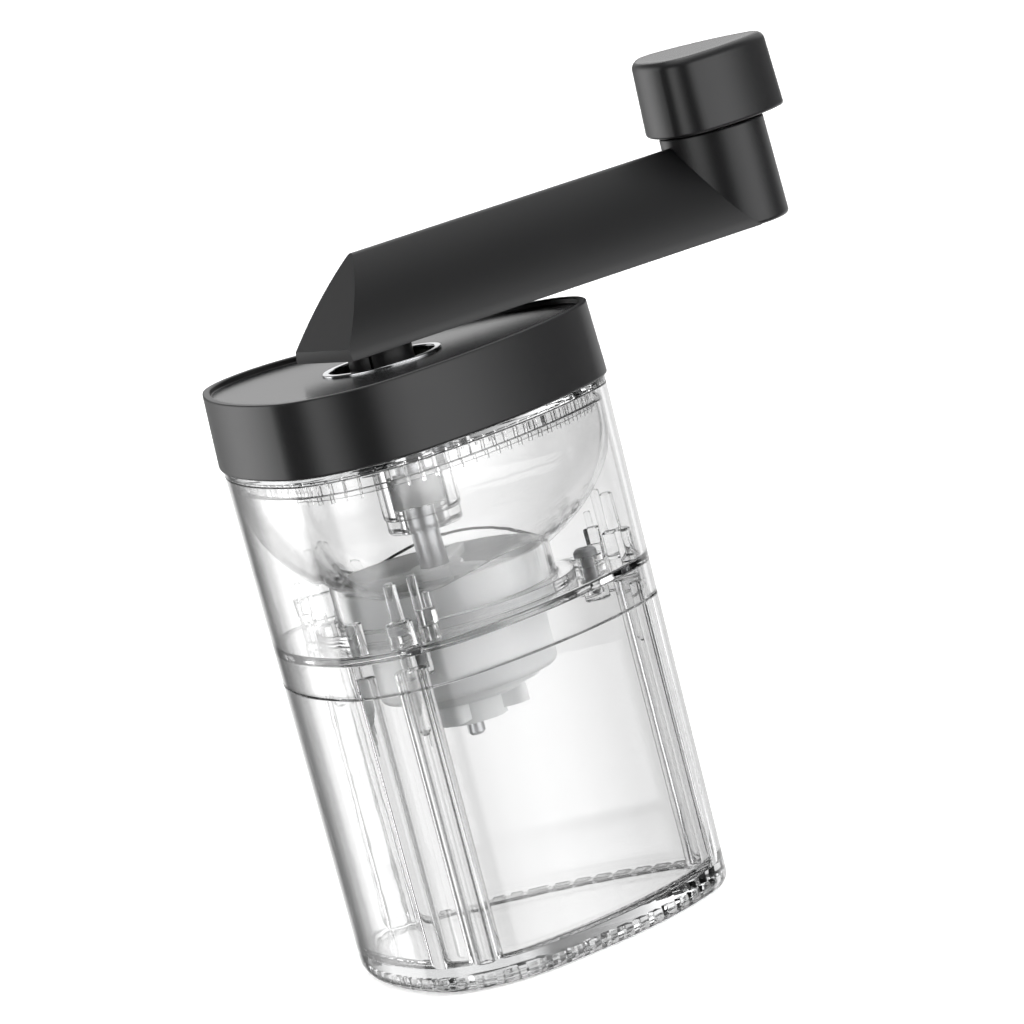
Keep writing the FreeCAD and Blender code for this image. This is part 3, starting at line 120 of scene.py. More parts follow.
def srgb(code):
    """Linear colour of an sRGB hex value."""
    channels = [int(code[i:i + 2], 16) / 255 for i in (1, 3, 5)]
    return [c / 12.92 if c <= 0.04045 else ((c + 0.055) / 1.055) ** 2.4 for c in channels]


class GrinderFinish(bpy.types.PropertyGroup):
    """Colours and finishes."""
    clear: bpy.props.FloatVectorProperty(
        name="Clear plastic", description="Tint of the clear moulded pieces", subtype="COLOR",
        size=3, min=0, max=1, default=srgb("#F6F6F6"))
    # Painted light: the thin clear pieces get a paler copy of the acrylic's tint than the cup, so they render
    # brighter.
    clear_thin_painted_lighter: bpy.props.FloatVectorProperty(
        name="Clear plastic, thin walls", description="Tint of the clear pieces round the burrs and beans",
        subtype="COLOR", size=3, min=0, max=1, default=srgb("#FEFEFE"))
    # Painted shade: a grey mixed into the clear pieces where an upright wall is seen edge on, in place of the dark
    # outlines that refraction draws at such edges.
    clear_edge_painted_shade: bpy.props.FloatVectorProperty(
        name="Clear plastic, edge on", description="Tint of the clear pieces where a wall is seen edge on",
        subtype="COLOR", size=3, min=0, max=1, default=srgb("#B0B0B0"))
    black: bpy.props.FloatVectorProperty(
        name="Black plastic", description="Lid, crank and knob", subtype="COLOR",
        size=3, min=0, max=1, default=srgb("#1F1F20"))
    pale: bpy.props.FloatVectorProperty(
        name="Pale plastic", description="Burr holder, nut and bush", subtype="COLOR",
        size=3, min=0, max=1, default=srgb("#E4E5E5"))
    ceramic: bpy.props.FloatVectorProperty(
        name="Ceramic", description="Burrs", subtype="COLOR",
        size=3, min=0, max=1, default=srgb("#E9E8E2"))
    steel: bpy.props.FloatVectorProperty(
        name="Steel", description="Shaft, spring and screws", subtype="COLOR",
        size=3, min=0, max=1, default=srgb("#B9BABC"))
    black_roughness: bpy.props.FloatProperty(
        name="Sheen of the black plastic", description="Roughness of the satin moulding", subtype="FACTOR",
        min=0, max=1, default=0.36)


class GrinderSizes(bpy.types.PropertyGroup):
    """Sizes that only change the looks."""
    black_edge: bpy.props.FloatProperty(
        name="Edges of the lid", description="Rounding of the lid's outer edges", subtype="DISTANCE",
        unit="LENGTH", min=0.0001, max=0.001, default=0.0005)
    arm_edge: bpy.props.FloatProperty(
        name="Edges of the crank", description="Rounding of the crank's edges", subtype="DISTANCE",
        unit="LENGTH", min=0.0001, max=0.001, default=0.00035)
    grain: bpy.props.FloatProperty(
        name="Grain", description="Size of a grain of the satin moulding", subtype="DISTANCE",
        unit="LENGTH", min=0.0001, max=0.001, default=0.00035)


class GrinderStudio(bpy.types.PropertyGroup):
    """Camera and light."""
    lens: bpy.props.FloatProperty(
        name="Lens", description="Focal length of the camera in millimetres", unit="CAMERA", min=50, max=600,
        default=296.78)
    key: bpy.props.FloatProperty(
        name="Lamps", description="Brightness of all the lamps, as a share of their usual one", min=0, max=4,
        default=1.0)
    sky: bpy.props.FloatProperty(
        name="Room light", description="Strength of the room's light on matt surfaces", min=0, max=4, default=1.2)
    inside: bpy.props.FloatProperty(
        name="Light inside", min=1, max=6, default=3.8,
        description="Makes up for the light that the clear walls keep from the pieces inside")
    floor_glow: bpy.props.FloatProperty(
        name="Paper", description="Lifts the floor to white for the camera", subtype="FACTOR", min=0, max=1,
        default=0.35)


# Mesh tools

def eased(corners, closed=False, step=0.26):
    """A profile through corners (a, b) or (a, b, radius), each rounded by its radius."""
    path = []
    for index, corner in enumerate(corners):
        here = Vector(corner[:2])
        radius = corner[2] if len(corner) > 2 else 0
        if not radius or (not closed and index in (0, len(corners) - 1)):
            path.append(here)
            continue
        before = (Vector(corners[index - 1][:2]) - here).normalized()
        after = (Vector(corners[(index + 1) % len(corners)][:2]) - here).normalized()
        between = before.angle(after)
        reach = radius / math.tan(between / 2)
        centre = here + (before + after).normalized() * (radius / math.sin(between / 2))
        arm = here + before * reach - centre
        last = here + after * reach - centre
        way = 1 if arm.x * last.y - arm.y * last.x > 0 else -1
        steps = max(2, round((math.pi - between) / step))
        for part in range(steps + 1):
            turned = arm.copy()
            turned.rotate(Matrix.Rotation(way * (math.pi - between) * part / steps, 2))
            path.append(centre + turned)
    return path


def columns_round(form, corner_steps, side_steps):
    """Round a rounded triangle: each column holds its arc's centre, radius and direction."""
    centre, corner, side = form
    back = (math.sqrt(4 * (side - corner) ** 2 - 3 * centre ** 2) - centre) / 2
    half = math.atan2(back * math.sin(math.pi / 3), centre + back / 2)
    third = 2 * math.pi / CORNERS
    columns = []
    for index in range(CORNERS):
        turn = index * third
        across = turn + third / 2
        arcs = (
            (centre * math.cos(turn), centre * math.sin(turn), corner, turn - half, 2 * half, corner_steps),
            (-back * math.cos(across), -back * math.sin(across), side, turn + half, third - 2 * half, side_steps),
        )
        for x, y, radius, start, span, steps in arcs:
            for part in range(steps):
                angle = start + span * part / steps
                columns.append((x, y, radius, math.cos(angle), math.sin(angle)))
    return columns


def plan_row(columns, height, inset):
    return [Vector((x + (radius - inset) * dx, y + (radius - inset) * dy, height))
            for x, y, radius, dx, dy in columns]


def disc_row(columns, height, radius):
    """A circle whose points lie in the same directions as the plan's."""
    row = []
    for point in plan_row(columns, height, 0):
        flat = point.xy.normalized() * radius
        row.append(Vector((flat.x, flat.y, height)))
    return row


def round_row(count, height, radius, x=0.0, y=0.0):
    return [Vector((x + radius * math.cos(math.tau * i / count), y + radius * math.sin(math.tau * i / count), height))
            for i in range(count)]


def skin(rows, wrap=False, into=None):
    """A closed mesh over rows of points; wrap joins the last row to the first, else both ends are closed."""
    mesh = into or bmesh.new()
    grid = [[mesh.verts.new(point) for point in row] for row in rows]
    pairs = list(zip(grid, grid[1:]))
    if wrap:
        pairs.append((grid[-1], grid[0]))
    for lower, upper in pairs:
        for i in range(len(lower)):
            j = (i + 1) % len(lower)
            mesh.faces.new((lower[i], lower[j], upper[j], upper[i]))
    if not wrap:
        mesh.faces.new(list(reversed(grid[0])))
        mesh.faces.new(grid[-1])
    return mesh


def turned(profile, count=96, x=0.0, y=0.0, wrap=False, into=None):
    """A round piece from its profile of (radius, height)."""
    return skin([round_row(count, height, max(radius, 1e-4), x, y) for radius, height in profile], wrap, into)


def tidy(mesh):
    bmesh.ops.remove_doubles(mesh, verts=mesh.verts, dist=1e-3)
    bmesh.ops.dissolve_degenerate(mesh, edges=mesh.edges, dist=1e-4)
    bmesh.ops.recalc_face_normals(mesh, faces=mesh.faces)
    return mesh


def piece(name, mesh, body, material, replaces, sharp=32):
    """Makes an object of a mesh drawn in millimetres, on its body."""
    tidy(mesh)
    bmesh.ops.scale(mesh, vec=(MM, MM, MM), verts=mesh.verts)
    data = bpy.data.meshes.new(name)
    mesh.to_mesh(data)
    mesh.free()
    item = bpy.data.objects.new(name, data)
    bpy.context.scene.collection.objects.link(item)
    data.materials.append(material)
    shade(item, sharp)
    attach(item, body)
    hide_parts(*replaces)
    return item


def shade(item, sharp):
    """Smooth shading with edges sharp above an angle in degrees."""
    data = item.data
    data.polygons.foreach_set("use_smooth", [True] * len(data.polygons))
    data.set_sharp_from_angle(angle=math.radians(sharp))
    modifier = item.modifiers.new("flat faces stay flat", "WEIGHTED_NORMAL")
    modifier.keep_sharp = True
    modifier.weight = 60


def combined(mesh, tools, rounding=0.0):
    """Joins or cuts a mesh with others; tools is a list of (operation, mesh). Rounding eases its sharp edges."""
    def temporary(source):
        tidy(source)
        data = bpy.data.meshes.new("shape")
        source.to_mesh(data)
        source.free()
        item = bpy.data.objects.new("shape", data)
        bpy.context.scene.collection.objects.link(item)
        return item

    base = temporary(mesh)
    others = []
    for operation, other in tools:
        tool = temporary(other)
        modifier = base.modifiers.new(operation, "BOOLEAN")
        modifier.operation = operation
        modifier.solver = "EXACT"
        modifier.object = tool
        others.append(tool)
    if rounding:
        modifier = base.modifiers.new("eased edges", "BEVEL")
        modifier.width = rounding
        modifier.segments = 3
        modifier.limit_method = "ANGLE"
        modifier.angle_limit = math.radians(40)
        modifier.miter_outer = "MITER_ARC"
    graph = bpy.context.evaluated_depsgraph_get()
    result = bmesh.new()
    result.from_object(base, graph)
    for item in [base] + others:
        data = item.data
        bpy.data.objects.remove(item)
        bpy.data.meshes.remove(data)
    return result


def spots(reach, offset=0.0):
    """Places in the three corner directions, or turned from them by an offset in degrees."""
    return [(reach * math.cos(math.radians(120 * i + offset)), reach * math.sin(math.radians(120 * i + offset)))
            for i in range(CORNERS)]


def turn_mesh(mesh, angle):
    bmesh.ops.rotate(mesh, verts=mesh.verts, cent=(0, 0, 0), matrix=Matrix.Rotation(math.radians(angle), 3, "Z"))


def several(profile, places, count=40):
    mesh = bmesh.new()
    for x, y in places:
        turned(profile, count, x, y, into=mesh)
    return mesh


# Finishes

def add(tree, kind, inputs=None, **settings):
    """Adds a node with its settings and links. A node given as an input is linked from its first output."""
    item = tree.nodes.new(kind)
    for key, value in settings.items():
        setattr(item, key, value)
    for key, value in (inputs or {}).items():
        if isinstance(value, bpy.types.Node):
            value = value.outputs[0]
        if isinstance(value, bpy.types.NodeSocket):
            tree.links.new(value, item.inputs[key])
        else:
            item.inputs[key].default_value = value
    return item


def per(size):
    """Scale of a pattern from the size of its features in millimetres."""
    return 1 / (size * MM)


def relief(tree, size, detail, strength, depth, roughness=0.5):
    """Uneven surface whose features are size millimetres across and depth millimetres deep."""
    where = add(tree, "ShaderNodeTexCoord").outputs["Object"]
    height = add(tree, "ShaderNodeTexNoise", {
        "Vector": where, "Scale": per(size), "Detail": detail, "Roughness": roughness}).outputs["Fac"]
    return add(tree, "ShaderNodeBump", {"Strength": strength, "Distance": depth * MM, "Height": height})


def new_material(name):
    material = bpy.data.materials.new(name)
    material.use_nodes = True
    material.node_tree.nodes.clear()
    return material


def finish_material(material, shader, volume=None):
    ends = {"Surface": shader}
    if volume:
        ends["Volume"] = volume
    add(material.node_tree, "ShaderNodeOutputMaterial", ends)
    return material


def clear_plastic(name="clear_acrylic_polished_moulding", colour=None):
    """Clear acrylic moulded in a polished tool: glassy, with faint flow ripples about 6 mm apart. Where an upright
    wall is seen edge on, a painted grey shade is mixed in, in place of the dark outlines that refraction draws at
    such edges."""
    material = new_material(name)
    tree = material.node_tree
    finish = bpy.context.scene.grinder_finish
    # Painted shade: how edge on a wall is seen (Layer Weight facing), on upright walls only, mixes the edge grey into
    # the tint.
    facing = add(tree, "ShaderNodeLayerWeight", {"Blend": 0.5}).outputs["Facing"]
    edge = add(tree, "ShaderNodeMapRange", {"Value": facing, "From Min": 0.65, "From Max": 0.72})
    normal = add(tree, "ShaderNodeNewGeometry").outputs["Normal"]
    lean = add(tree, "ShaderNodeSeparateXYZ", {0: normal}).outputs["Z"]
    lean = add(tree, "ShaderNodeMath", {0: lean}, operation="ABSOLUTE")
    upright = add(tree, "ShaderNodeMapRange", {
        "Value": lean, "From Min": 0.3, "From Max": 0.6, "To Min": 1.0, "To Max": 0.0})
    share = add(tree, "ShaderNodeMath", {0: edge, 1: upright}, operation="MULTIPLY")
    first, second = 6, 7  # the colour sockets of a Mix node
    tint_and_painted_edge_shade = add(tree, "ShaderNodeMix", {
        "Factor": share, first: (*(colour or finish.clear), 1), second: (*finish.clear_edge_painted_shade, 1)}, data_type="RGBA")
    shader = add(tree, "ShaderNodeBsdfPrincipled", {
        "Base Color": tint_and_painted_edge_shade.outputs[2], "Roughness": 0.0, "IOR": 1.49, "Transmission Weight": 1.0,
        "Normal": relief(tree, 6.0, 1.0, 0.5, 0.02)})
    volume = add(tree, "ShaderNodeVolumeAbsorption", {"Color": (*srgb("#CED0D1"), 1), "Density": 6.0})
    return finish_material(material, shader, volume)


def thin_clear_plastic_painted_lighter():
    """The same acrylic in thinner walls, with a paler tint than the cup: painted light that renders these pieces
    brighter.
    """
    return clear_plastic("clear_acrylic_thin_painted_lighter", bpy.context.scene.grinder_finish.clear_thin_painted_lighter)


def black_plastic():
    """Black ABS moulded in a blasted tool: a fine grain that breaks up its sheen. The real grain is under 0.1 mm and
    wouldn't show, so it is drawn coarser."""
    material = new_material("black_abs_satin_moulding")
    tree = material.node_tree
    finish, sizes = bpy.context.scene.grinder_finish, bpy.context.scene.grinder_sizes
    where = add(tree, "ShaderNodeTexCoord").outputs["Object"]
    cloud = add(tree, "ShaderNodeTexNoise", {"Vector": where, "Scale": per(22.0), "Detail": 3.0})
    base, spread = finish.black_roughness, 0.03
    varied = add(tree, "ShaderNodeMapRange", {
        "Value": cloud.outputs["Fac"], "To Min": base - spread, "To Max": base + spread})
    shader = add(tree, "ShaderNodeBsdfPrincipled", {
        "Base Color": (*finish.black, 1), "Roughness": varied, "IOR": 1.5,
        "Normal": relief(tree, sizes.grain / MM, 2.0, 0.06, 0.05, roughness=0.6)})
    return finish_material(material, shader)


def polished_black():
    """The same black ABS from a polished part of the tool: the sunk top of the lid mirrors what stands behind it."""
    material = new_material("black_abs_polished_moulding")
    tree = material.node_tree
    shader = add(tree, "ShaderNodeBsdfPrincipled", {
        "Base Color": (*bpy.context.scene.grinder_finish.black, 1), "Roughness": 0.22, "IOR": 1.5,
        "Normal": relief(tree, 16.0, 2.0, 0.05, 0.1)})
    return finish_material(material, shader)


def pale_plastic():
    """Pale grey acetal: slightly milky, with a soft sheen."""
    material = new_material("pale_acetal_moulding")
    tree = material.node_tree
    shader = add(tree, "ShaderNodeBsdfPrincipled", {
        "Base Color": (*bpy.context.scene.grinder_finish.pale, 1), "Roughness": 0.42, "IOR": 1.48,
        "Normal": relief(tree, 0.55, 2.0, 0.05, 0.05)})
    return finish_material(material, shader)


def ceramic():
    """Fired alumina: off-white and matt, with a fine open grain."""
    material = new_material("fired_ceramic")
    tree = material.node_tree
    shader = add(tree, "ShaderNodeBsdfPrincipled", {
        "Base Color": (*bpy.context.scene.grinder_finish.ceramic, 1), "Roughness": 0.5, "IOR": 1.6,
        "Normal": relief(tree, 0.8, 4.0, 0.12, 0.05)})
    return finish_material(material, shader)


def steel(name="turned_stainless_steel", roughness=0.35, metallic=1.0):
    """Stainless steel bar, turned: fine rings round the axis. The real ones are finer and wouldn't show."""
    material = new_material(name)
    tree = material.node_tree
    where = add(tree, "ShaderNodeTexCoord").outputs["Object"]
    waves_per_unit = math.tau / 20  # a Wave texture's own scale
    rings = add(tree, "ShaderNodeTexWave", {
        "Vector": where, "Scale": waves_per_unit * per(0.35), "Distortion": 1.0, "Detail": 2.0}, bands_direction="Z")
    bump = add(tree, "ShaderNodeBump", {"Strength": 0.08, "Distance": 0.03 * MM, "Height": rings.outputs["Fac"]})
    shader = add(tree, "ShaderNodeBsdfPrincipled", {
        "Base Color": (*bpy.context.scene.grinder_finish.steel, 1), "Metallic": metallic, "Roughness": roughness,
        "Normal": bump})
    return finish_material(material, shader)


def plated_steel():
    """Zinc plated steel: paler and duller than bare steel."""
    return steel("zinc_plated_steel", 0.5, 0.6)


def bright_plating():
    """Chrome on plastic: a near mirror with very faint ripples."""
    material = new_material("bright_chrome_plating")
    tree = material.node_tree
    shader = add(tree, "ShaderNodeBsdfPrincipled", {
        "Base Color": (*srgb("#E4E5E7"), 1), "Metallic": 1.0, "Roughness": 0.08,
        "Normal": relief(tree, 4.0, 1.0, 0.04, 0.05)})
    return finish_material(material, shader)


MAKERS = {"clear": clear_plastic, "thin": thin_clear_plastic_painted_lighter, "black": black_plastic, "polished": polished_black,
          "pale": pale_plastic, "ceramic": ceramic, "steel": steel, "zinc": plated_steel, "chrome": bright_plating}
made = {}


def material(kind):
    if kind not in made:
        made[kind] = MAKERS[kind]()
    return made[kind]


def refinish(item, kind, chosen):
    """Gives some faces of a piece another finish; chosen says which, from a face's middle and direction."""
    item.data.materials.append(material(kind))
    for face in item.data.polygons:
        if chosen(face.center / MM, face.normal):
            face.material_index = len(item.data.materials) - 1


def dress(kind, *nodes):
    """Gives solids of the frame their finish; their shapes stay as they are."""
    for node in nodes:
        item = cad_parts[node]
        item.data.materials.clear()
        item.data.materials.append(material(kind))


# Pieces

class GrinderPiece:
    """What the operators share."""
    bl_options = {"REGISTER", "UNDO"}


class GRINDER_OT_container(GrinderPiece, bpy.types.Operator):
    """Clear cup that catches the ground coffee"""
    bl_idname = "grinder.container"
    bl_label = "Container"
    foot_inside, foot_outside = 8.7, 4.5

    def execute(self, context):
        cells = (5, 11)
        per_cell = 8
        columns = columns_round(PLAN, cells[0] * per_cell, cells[1] * per_cell)
        outside = eased([(PLAN_END, 0.9), (9.0, 0.9), (self.foot_inside, 0), (self.foot_outside, 0),
                         (BASE_INSET, 0, 3.0), (JOINT_INSET, PARTING, 0.25), (SPIGOT_INSET, PARTING, 0.25),
                         (SPIGOT_INSET, SPIGOT_TOP, 0.4), (CORE_INSET, SPIGOT_TOP, 0.4),
                         (CORE_INSET + 0.4, FLOOR_TOP, 3.0), (PLAN_END, FLOOR_TOP)])
        shell = skin([plan_row(columns, height, inset) for inset, height in outside])
        tidy(shell)
        self.cut_cells(shell, columns, per_cell)
        rail_foot, rail_top = 3.0, 75.0
        rails = several([(3.75, rail_foot), (3.75, rail_top - 0.3), (3.45, rail_top)], spots(RAIL_REACH), 48)
        for x, y in spots(SIDE_RAIL_REACH, SIDE_RAIL_TURN):
            turned([(2.2, rail_foot), (2.2, rail_top - 0.3), (1.9, rail_top)], 36, x, y, into=rails)
        bores = several([(1e-3, FLOOR_TOP), (1.9, FLOOR_TOP), (2.1, FLOOR_TOP + 0.2), (2.1, rail_top + 1.0)],
                        spots(RAIL_REACH), 36)
        shape = combined(shell, [("UNION", rails), ("DIFFERENCE", bores)])
        piece("container_cup", shape, "container", material("clear"), ["container"])
        return {"FINISHED"}

    def cut_cells(self, shell, columns, per_cell):
        """Small cells cut up into the flat ring of the foot, each a little smaller at its top."""
        def key(point):
            return tuple(round(c, 4) for c in point)

        height, taper = 3.2, 0.8
        inner = {key(point): i for i, point in enumerate(plan_row(columns, 0, self.foot_inside))}
        outer = {key(point) for point in plan_row(columns, 0, self.foot_outside)}
        groups = {}
        for face in shell.faces:
            if len(face.verts) != 4:
                continue
            keys = [key(vert.co) for vert in face.verts]
            found = [inner[place] for place in keys if place in inner]
            if len(found) == 2 and sum(place in outer for place in keys) == 2:
                first = min(found) if max(found) - min(found) == 1 else max(found)
                if first % per_cell < per_cell - 2:
                    groups.setdefault(first // per_cell, []).append(face)
        for faces in groups.values():
            made_here = bmesh.ops.extrude_face_region(shell, geom=faces)["geom"]
            verts = [item for item in made_here if isinstance(item, bmesh.types.BMVert)]
            bmesh.ops.translate(shell, vec=(0, 0, height), verts=verts)
            middle = sum((vert.co for vert in verts), Vector()) / len(verts)
            for vert in verts:
                vert.co.xy = middle.xy + (vert.co.xy - middle.xy) * taper
        old = [face for group in groups.values() for face in group if face.is_valid]
        bmesh.ops.delete(shell, geom=old, context="FACES")


class GRINDER_OT_upper_body(GrinderPiece, bpy.types.Operator):
    """Clear upper body with its deck, posts and guide pins"""
    bl_idname = "grinder.upper_body"
    bl_label = "Upper body"

    def execute(self, context):
        columns = columns_round(PLAN, 40, 88)
        low = PARTING + 0.35
        wall = [(JOINT_INSET, low, 0.25), (UPPER_INSET, UPPER_RIM, 0.3), (UPPER_INSET + UPPER_WALL, UPPER_RIM, 0.3),
                (1.55 + UPPER_WALL / 2, DECK_TOP, 0.8)]
        rows = [plan_row(columns, height, inset) for inset, height in eased(
            [(JOINT_INSET + UPPER_WALL, low), *wall, (PLAN_END, DECK_TOP)])]
        rows += [disc_row(columns, height, radius) for radius, height in eased(
            [(30.0, DECK_TOP), (DECK_HOLE, DECK_TOP, 0.3), (DECK_HOLE, SPIGOT_TOP, 0.3), (30.0, SPIGOT_TOP)])]
        rows += [plan_row(columns, height, inset) for inset, height in eased(
            [(PLAN_END, SPIGOT_TOP), (JOINT_INSET + UPPER_WALL, SPIGOT_TOP, 0.3), (JOINT_INSET + UPPER_WALL, low)])]
        shell = skin(rows, wrap=True)
        pin_foot, root, boss_top = 59.6, 79.5, 86.2
        posts = several([(1.0, pin_foot), (1.75, pin_foot + 1.0), (1.75, root), (3.1, root), (3.1, boss_top - 0.4),
                         (2.7, boss_top), (1.6, boss_top), (1.45, boss_top + 8.6), (1.0, boss_top + 9.0)],
                        spots(RAIL_REACH), 40)
        for offset, reach, radius, top in ((SIDE_RAIL_TURN, SIDE_RAIL_REACH, 1.9, boss_top + 1.5),
                                           (6.8, 42.6, 1.1, boss_top + 9.6), (9.6, 40.4, 0.8, boss_top + 5.0)):
            for x, y in spots(reach, offset):
                turned([(radius, root), (radius, top - 0.3), (radius - 0.3, top)], 32, x, y, into=posts)
        blocks = several([(1.9, 79.1), (1.9, boss_top - 3.0), (2.3, boss_top - 2.8), (2.3, boss_top + 1.0),
                          (2.0, boss_top + 1.2)], spots(40.4, 8.5), 4)
        for x, y in spots(SCREW_REACH):
            turned([(2.6, 71.8), (2.9, 72.1), (2.9, root)], 36, x, y, into=posts)
        bores = several([(1.4, 73.4), (1.4, 82.0)], spots(SCREW_REACH), 28)
        shape = combined(shell, [("UNION", posts), ("UNION", blocks), ("DIFFERENCE", bores)])
        piece("upper_shell", shape, "upper", material("thin"), ["upper_body"])
        return {"FINISHED"}


class GRINDER_OT_hopper(GrinderPiece, bpy.types.Operator):
    """Clear bowl for the beans, with the cup for the burr set below it"""
    bl_idname = "grinder.hopper"
    bl_label = "Hopper bowl"

    def surface(self, columns, inset, depth, radius, rows):
        """Rows down a quarter ellipse of scaled plans, ending where it meets the round cup."""
        result = []
        plan = plan_row(columns, 0, inset)
        ends = [math.acos(min(1.0, radius / point.xy.length)) for point in plan]
        for step in range(rows + 1):
            row = []
            for point, end in zip(plan, ends):
                turn = end * step / rows
                flat = point.xy * math.cos(turn)
                row.append(Vector((flat.x, flat.y, BOWL_SPRING - depth * math.sin(turn))))
            result.append(row)
        return result

    def execute(self, context):
        columns = columns_round(PLAN, 36, 78)
        rim = [plan_row(columns, height, inset) for inset, height in eased(
            [(BOWL_INSET + BOWL_WALL, BOWL_SPRING + 0.2), (BOWL_INSET + BOWL_WALL, BOWL_RIM, 0.3),
             (BOWL_INSET, BOWL_RIM, 0.3), (BOWL_INSET, BOWL_SPRING + 0.2)])]
        depth, steps, seat, cup_top, opening = 33.0, 26, DECK_TOP + 0.04, 84.0, 22.0
        outer = self.surface(columns, BOWL_INSET, depth, CUP_RADIUS, steps)
        cup = [disc_row(columns, height, radius) for radius, height in eased(
            [(CUP_RADIUS, cup_top), (CUP_RADIUS, EAR_TOP, 0.5), (SEAT_RADIUS, EAR_TOP, 0.3),
             (SEAT_RADIUS, seat, 0.2), (CUP_RADIUS, seat), (CUP_RADIUS, CUP_FOOT, 2.3), (opening, CUP_FOOT, 0.3),
             (opening, CUP_FLOOR, 0.3), (CUP_BORE, CUP_FLOOR), (CUP_BORE, cup_top)])]
        inner = self.surface(columns, BOWL_INSET + BOWL_WALL, depth - BOWL_WALL, CUP_BORE, steps)
        shell = skin(rim + outer + cup + inner[::-1], wrap=True)
        ears = several([(3.7, seat), (4.0, DECK_TOP + 0.3), (4.0, EAR_TOP - 0.3), (3.7, EAR_TOP)], spots(SCREW_REACH))
        bores = several([(1.6, DECK_TOP - 1), (1.6, EAR_TOP + 1)], spots(SCREW_REACH), 28)
        shape = combined(shell, [("UNION", ears), ("DIFFERENCE", bores)])
        piece("bean_bowl", shape, "upper", material("thin"), ["hopper_bowl"])
        return {"FINISHED"}


class GRINDER_OT_inner_lid(GrinderPiece, bpy.types.Operator):
    """Clear plate under the lid, with its ribbed skirt and bearing tube"""
    bl_idname = "grinder.inner_lid"
    bl_label = "Inner lid"

    def execute(self, context):
        columns = columns_round(PLAN, 36, 78)
        foot, top, outside = UPPER_RIM - 4.6, LID_FOOT - GAP, SKIRT_INSET + 0.8
        bore, tube, middle = 6.0, 9.05, 12.0
        rows = [plan_row(columns, height, inset) for inset, height in eased(
            [(PLAN_END, UPPER_RIM), (outside + 1.3, UPPER_RIM, 0.4), (outside + 0.8, foot, 0.25),
             (outside + 0.1, foot, 0.25), (outside, UPPER_RIM, 0.3), (UPPER_INSET, UPPER_RIM + GAP, 0.25),
             (UPPER_INSET, top, 0.25), (PLAN_END, top)])]
        rows += [disc_row(columns, height, radius) for radius, height in eased(
            [(middle, top), (bore, top, 0.3), (bore, TUBE_FOOT, 0.2), (tube, TUBE_FOOT, 0.4),
             (tube, UPPER_RIM, 0.6), (middle, UPPER_RIM)])]
        plate = skin(rows, wrap=True)
        for x, y, radius, dx, dy in columns_round(PLAN, 8, 16):
            self.rib(plate, Vector((x, y)), radius - SKIRT_INSET, Vector((dx, dy)))
        piece("lid_plate", plate, "lid", material("thin"), ["inner_lid"])
        return {"FINISHED"}

    def rib(self, mesh, middle, radius, out):
        """An upright rib on the skirt, thinner at its free lower end."""
        side = Vector((-out.y, out.x))
        rows = []
        for height, half, proud in ((UPPER_RIM + 0.3, 0.24, 0.1), (UPPER_RIM - 5.3, 0.2, -0.1)):
            corners = ((proud, -half * 0.7), (proud, half * 0.7), (-1.1, half), (-1.1, -half))
            rows.append([Vector((*(middle + out * (radius + reach) + side * across), height))
                         for reach, across in corners])
        skin(rows[::-1], into=mesh)


class GRINDER_OT_shaft_bearing(GrinderPiece, bpy.types.Operator):
    """Bush in the bearing tube, and the cap that holds it"""
    bl_idname = "grinder.shaft_bearing"
    bl_label = "Shaft bearing"

    def execute(self, context):
        foot, top, fit = 105.3, 115.7, 5.9
        bush = turned(eased([(3.6, foot), (fit, foot, 0.3), (fit, top, 0.3), (3.6, top)]), wrap=True)
        piece("bearing_bush", bush, "lid", material("pale"), ["shaft_bush"])
        cap = turned(eased([(3.8, BUSH_CAP_FOOT), (8.7, BUSH_CAP_FOOT, 0.8), (8.7, TUBE_FOOT - GAP, 0.2),
                            (fit, TUBE_FOOT - GAP), (fit, TUBE_FOOT + 2.0, 0.2), (3.8, TUBE_FOOT + 2.0)]), wrap=True)
        piece("bearing_cap", cap, "lid", material("thin"), ["bush_cap"])
        return {"FINISHED"}


class GRINDER_OT_burr_holder(GrinderPiece, bpy.types.Operator):
    """Pale holder of the burr set with its three-armed bearing"""
    bl_idname = "grinder.burr_holder"
    bl_label = "Burr holder"
    arm_foot = HOLDER_TOP - 2.6

    def execute(self, context):
        bore, tube, seat = 19.74, 21.4, 76.1
        housing = turned(eased([
            (bore, HOLDER_FOOT, 0.2), (tube, HOLDER_FOOT, 1.5), (tube, CUP_FLOOR, 0.3),
            (HOLDER_RADIUS, CUP_FLOOR, 0.5), (HOLDER_RADIUS, HOLDER_TOP, 0.4), (23.3, HOLDER_TOP, 0.4),
            (17.2, seat, 0.3), (bore, seat)], closed=True), 128, wrap=True)
        turned(eased([(3.58, self.arm_foot, 0.2), (6.2, self.arm_foot, 0.4), (6.2, HOLDER_TOP, 0.4),
                      (3.58, HOLDER_TOP, 0.2)], closed=True), 64, wrap=True, into=housing)
        for index in range(CORNERS):
            self.arm(housing, math.radians(60 + 120 * index))
        piece("holder_body", housing, "upper", material("pale"), ["burr_holder"])
        return {"FINISHED"}

    def arm(self, mesh, turn):
        """An arm of the bearing, from its ring to the wall."""
        half = 1.6
        section = eased([(-half, self.arm_foot, 0.5), (half, self.arm_foot, 0.5), (half, HOLDER_TOP, 0.5),
                         (-half, HOLDER_TOP, 0.5)], closed=True)
        out, side = Vector((math.cos(turn), math.sin(turn), 0)), Vector((-math.sin(turn), math.cos(turn), 0))
        skin([[out * reach + side * across + Vector((0, 0, height)) for across, height in section]
              for reach in (5.5, 23.6)], into=mesh)


